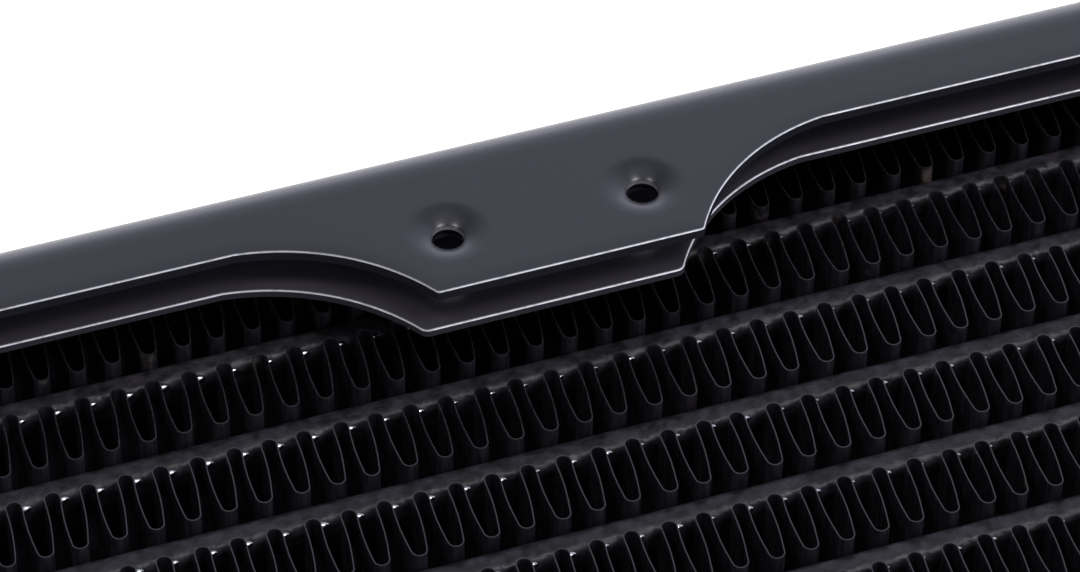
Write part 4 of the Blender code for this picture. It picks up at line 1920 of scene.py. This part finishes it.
@dataclass(frozen=True)
class Softbox:
    """A rectangular light that faces a point of the object."""

    name: str
    place: tuple[float, float, float]
    size: tuple[float, float]
    power: float
    aim: tuple[float, float, float] = (0.0, 0.0, 0.03)

    def hang(self) -> None:
        """Adds the light."""
        light = bpy.data.lights.new(self.name, "AREA")
        light.shape = "RECTANGLE"
        light.size, light.size_y = self.size
        light.energy = self.power
        lamp = bpy.data.objects.new(self.name, light)
        lamp.location = self.place
        way = Vector(self.aim) - Vector(self.place)
        lamp.rotation_euler = way.to_track_quat("-Z", "Y").to_euler()
        bpy.context.scene.collection.objects.link(lamp)


@dataclass
class Studio:
    """The floor, the light and the camera."""

    layout: Layout
    azimuth: float = math.radians(20.47)
    elevation: float = math.radians(44.29)
    roll: float = math.radians(1.01)
    distance: float = 323.5 * MM
    aim_from_screws: tuple[float, float] = (-3.12 * MM, -7.46 * MM)
    lens: float = 151.53
    floor_size: float = 8.0
    floor_drop: float = 0.2 * MM
    sky: tuple[tuple[float, float], ...] = (  # elevation in degrees, and brightness
        (-90, 0.9),
        (-12, 3.0),
        (0, 2.3),
        (10, 1.5),
        (24, 1.02),
        (34, 0.96),
        (44, 1.0),
        (49, 0.8),
        (56, 0.38),
        (66, 0.35),
        (76, 0.7),
        (90, 0.9),
    )
    sky_tint: Colour = (0.9, 0.91, 1.08)
    lights: tuple[Softbox, ...] = (
        Softbox("overhead_right_softbox", (0.33, -0.32, 0.89), (0.32, 0.32), 5.0),
        Softbox("overhead_left_softbox", (-0.46, -0.02, 0.89), (0.26, 0.26), 3.0),
        Softbox("front_right_softbox", (0.46, -0.82, 0.36), (0.26, 0.18), 1.4),
        Softbox("front_left_softbox", (-0.89, -0.31, 0.36), (0.26, 0.18), 1.4),
    )

    def build(self, shop: Workshop) -> None:
        """Sets up the studio.

        Args:
            shop: Where the floor is finished.
        """
        self.lay_floor(shop)
        self.light_sky()
        for light in self.lights:
            light.hang()
        self.stand_camera()
        bpy.context.scene.view_settings.view_transform = "Standard"

    def lay_floor(self, shop: Workshop) -> None:
        """Lays the floor under the object.

        Args:
            shop: Where the floor is finished.
        """
        bm = bmesh.new()
        bmesh.ops.create_grid(bm, x_segments=4, y_segments=4, size=self.floor_size / 2)
        mesh = bpy.data.meshes.new("studio_floor")
        bm.to_mesh(mesh)
        bm.free()
        mesh.materials.append(shop.material(Paper("floor_paper")))
        floor = shown(mesh)
        floor.location.z = -self.floor_drop

    def light_sky(self) -> None:
        """Lights the sky: bright low down and behind, darker overhead and in front."""
        world = bpy.data.worlds.new("studio_sky")
        world.use_nodes = True
        bpy.context.scene.world = world
        graph = Graph(world.node_tree)
        way = graph.node("ShaderNodeTexCoord")
        up, back = way.axis("Z"), way.axis("Y")
        heights = [(math.sin(math.radians(angle)), level) for angle, level in self.sky]
        stops = [(0.5 + 0.5 * height, (level / 2,) * 3) for height, level in heights]
        band = graph.node("ShaderNodeValToRGB", {"stops": stops}, up * 0.5 + 0.5)
        front = (0.8 + 0.2 * back.step(-0.5, 0.3)) * (0.8 + 1.0 * way.axis("X"))
        tint = graph.mix(front, (0.0, 0.0, 0.0), self.sky_tint)
        settings = {"data_type": "RGBA", "blend_type": "MULTIPLY"}
        colour = graph.node("ShaderNodeMix", settings, 1.0, band, tint)
        graph.node("ShaderNodeOutputWorld", None, graph.node("ShaderNodeBackground", None, colour, 2.0))

    def stand_camera(self) -> None:
        """Stands the camera so that it looks down on the screw tab in the middle of the left shell."""
        sin_a, cos_a = math.sin(self.azimuth), math.cos(self.azimuth)
        sin_e, cos_e = math.sin(self.elevation), math.cos(self.elevation)
        forward = Vector((sin_a * cos_e, cos_a * cos_e, -sin_e))
        right = Vector((cos_a, -sin_a, 0))
        up = right.cross(forward)
        sideways = math.cos(self.roll) * right + math.sin(self.roll) * up
        upward = math.cos(self.roll) * up - math.sin(self.roll) * right
        middle = Vector((self.layout.middle_x, self.layout.screw_y, self.layout.shell[1].z))
        aim = middle + Vector((*self.aim_from_screws, 0))
        turn = Matrix((sideways, upward, -forward)).transposed().to_4x4()
        data = bpy.data.cameras.new("studio_camera")
        data.lens = self.lens
        data.clip_start = 10 * MM
        camera = bpy.data.objects.new("studio_camera", data)
        camera.matrix_world = Matrix.Translation(aim - forward * self.distance) @ turn
        bpy.context.scene.collection.objects.link(camera)
        bpy.context.scene.camera = camera


# ---- Assembly -----------------------------------------------------------------------------------


def clear_startup() -> None:
    """Removes the startup scene's own objects."""
    for name in STARTUP_OBJECTS:
        found = bpy.data.objects.get(name)
        if found:
            bpy.data.objects.remove(found)


def body_of(node: str) -> str:
    """Returns the name of the body that a node belongs to."""
    return next(name for name, nodes in frame["record"]["behaviour"]["bodies"].items() if node in nodes)


def build_sheets(shop: Workshop, layout: Layout) -> None:
    """Makes the side shells and the guards behind them.

    Args:
        shop: Where the pieces are finished.
        layout: The places that they share.
    """
    shell_paint = SatinPaint("shell_satin_paint")
    # The guards' black is lighter than the shells': painted fill light in the shade that the shells cast on
    # them.
    guard_paint = SatinPaint("guard_satin_paint", colour=(0.03, 0.027, 0.034), roughness=0.3)
    for side in Side:
        label = side.name.lower()
        FoldedSheet(
            f"folded_shell_{label}",
            f"side_shell_{label}",
            side,
            sheet=1.0 * MM,
            bend_radius=4.5 * MM,
            corner=0.4 * MM,
            finish=shell_paint,
            slot="shell_paint",
            screws=layout.screws,
            screw_y=layout.screw_y,
            layout=layout,
        ).build(shop)
        FoldedSheet(
            f"folded_guard_{label}",
            f"screw_guard_{label}",
            side,
            sheet=0.8 * MM,
            bend_radius=2.5 * MM,
            corner=0.75 * MM,
            finish=guard_paint,
            slot="guard_paint",
            shift=-1.25 * MM,
            tab_past_screw=2.4 * MM,
            layout=layout,
        ).build(shop)


def build_ends(shop: Workshop, layout: Layout) -> None:
    """Makes the tanks, the header plates' looks, the ports, plugs and seals.

    Args:
        shop: Where the pieces are finished.
        layout: The places that they share.
    """
    rough = {"roughness": 0.3, "peel_depth": 0.006 * MM}
    tank_paint = SatinPaint("tank_satin_paint", colour=(0.0095, 0.0095, 0.013), **rough)
    brass = {"metal": (0.6, 0.44, 0.2), "metal_roughness": 0.24, "metallic": 1.0, "patchy": 0.0}
    bush_finish = SatinPaint("bush_paint_on_brass", **brass)
    rough = {"roughness": 0.4, "peel_depth": 0.01 * MM}
    header_paint = SatinPaint("header_rough_paint", colour=(0.013, 0.012, 0.014), **rough)
    baffle_metal = Metal("baffle_rolled_brass", (0.55, 0.40, 0.18), (0.33, 0.22, 0.10), 0.35)
    plug_metal = Metal("plug_black_plating", (0.055, 0.055, 0.06), (0.035, 0.035, 0.038), 0.22)
    rubber = Rubber("seal_black_rubber")
    ports = [
        Port("top_left", Outward.UP, "tank_port", False),
        Port("top_right", Outward.UP, "tank_port", False),
        Port("side_left", Outward.LEFT, "tank_port", True),
        Port("side_right", Outward.RIGHT, "tank_port", True),
        Port("bleed", Outward.BACK, "tank_return", True),
    ]
    for port in ports:
        port.bush(shop, bush_finish)
        if port.plugged:
            port.plug(shop, plug_metal)
            port.ring(shop, rubber)
    for end in End:
        tank = Tank(end, layout)
        tank.build(shop, tank_paint, [port for port in ports if port.tank == tank.node])
    Headers(layout).build(shop, header_paint, Tubes(layout).count)
    frame["nodes"]["baffle"].material_slots[0].material = shop.material(baffle_metal)


def main() -> None:
    """Builds the radiator's looks and its studio."""
    logging.basicConfig(level=logging.INFO, format="%(name)s: %(message)s")
    clear_startup()
    layout = Layout()
    shop = Workshop(body_of("side_shell_left"))
    Studio(layout).build(shop)
    build_sheets(shop, layout)
    Fins(layout).build(shop)
    Tubes(layout).build(shop)
    build_ends(shop, layout)


if __name__ == "__main__":
    main()
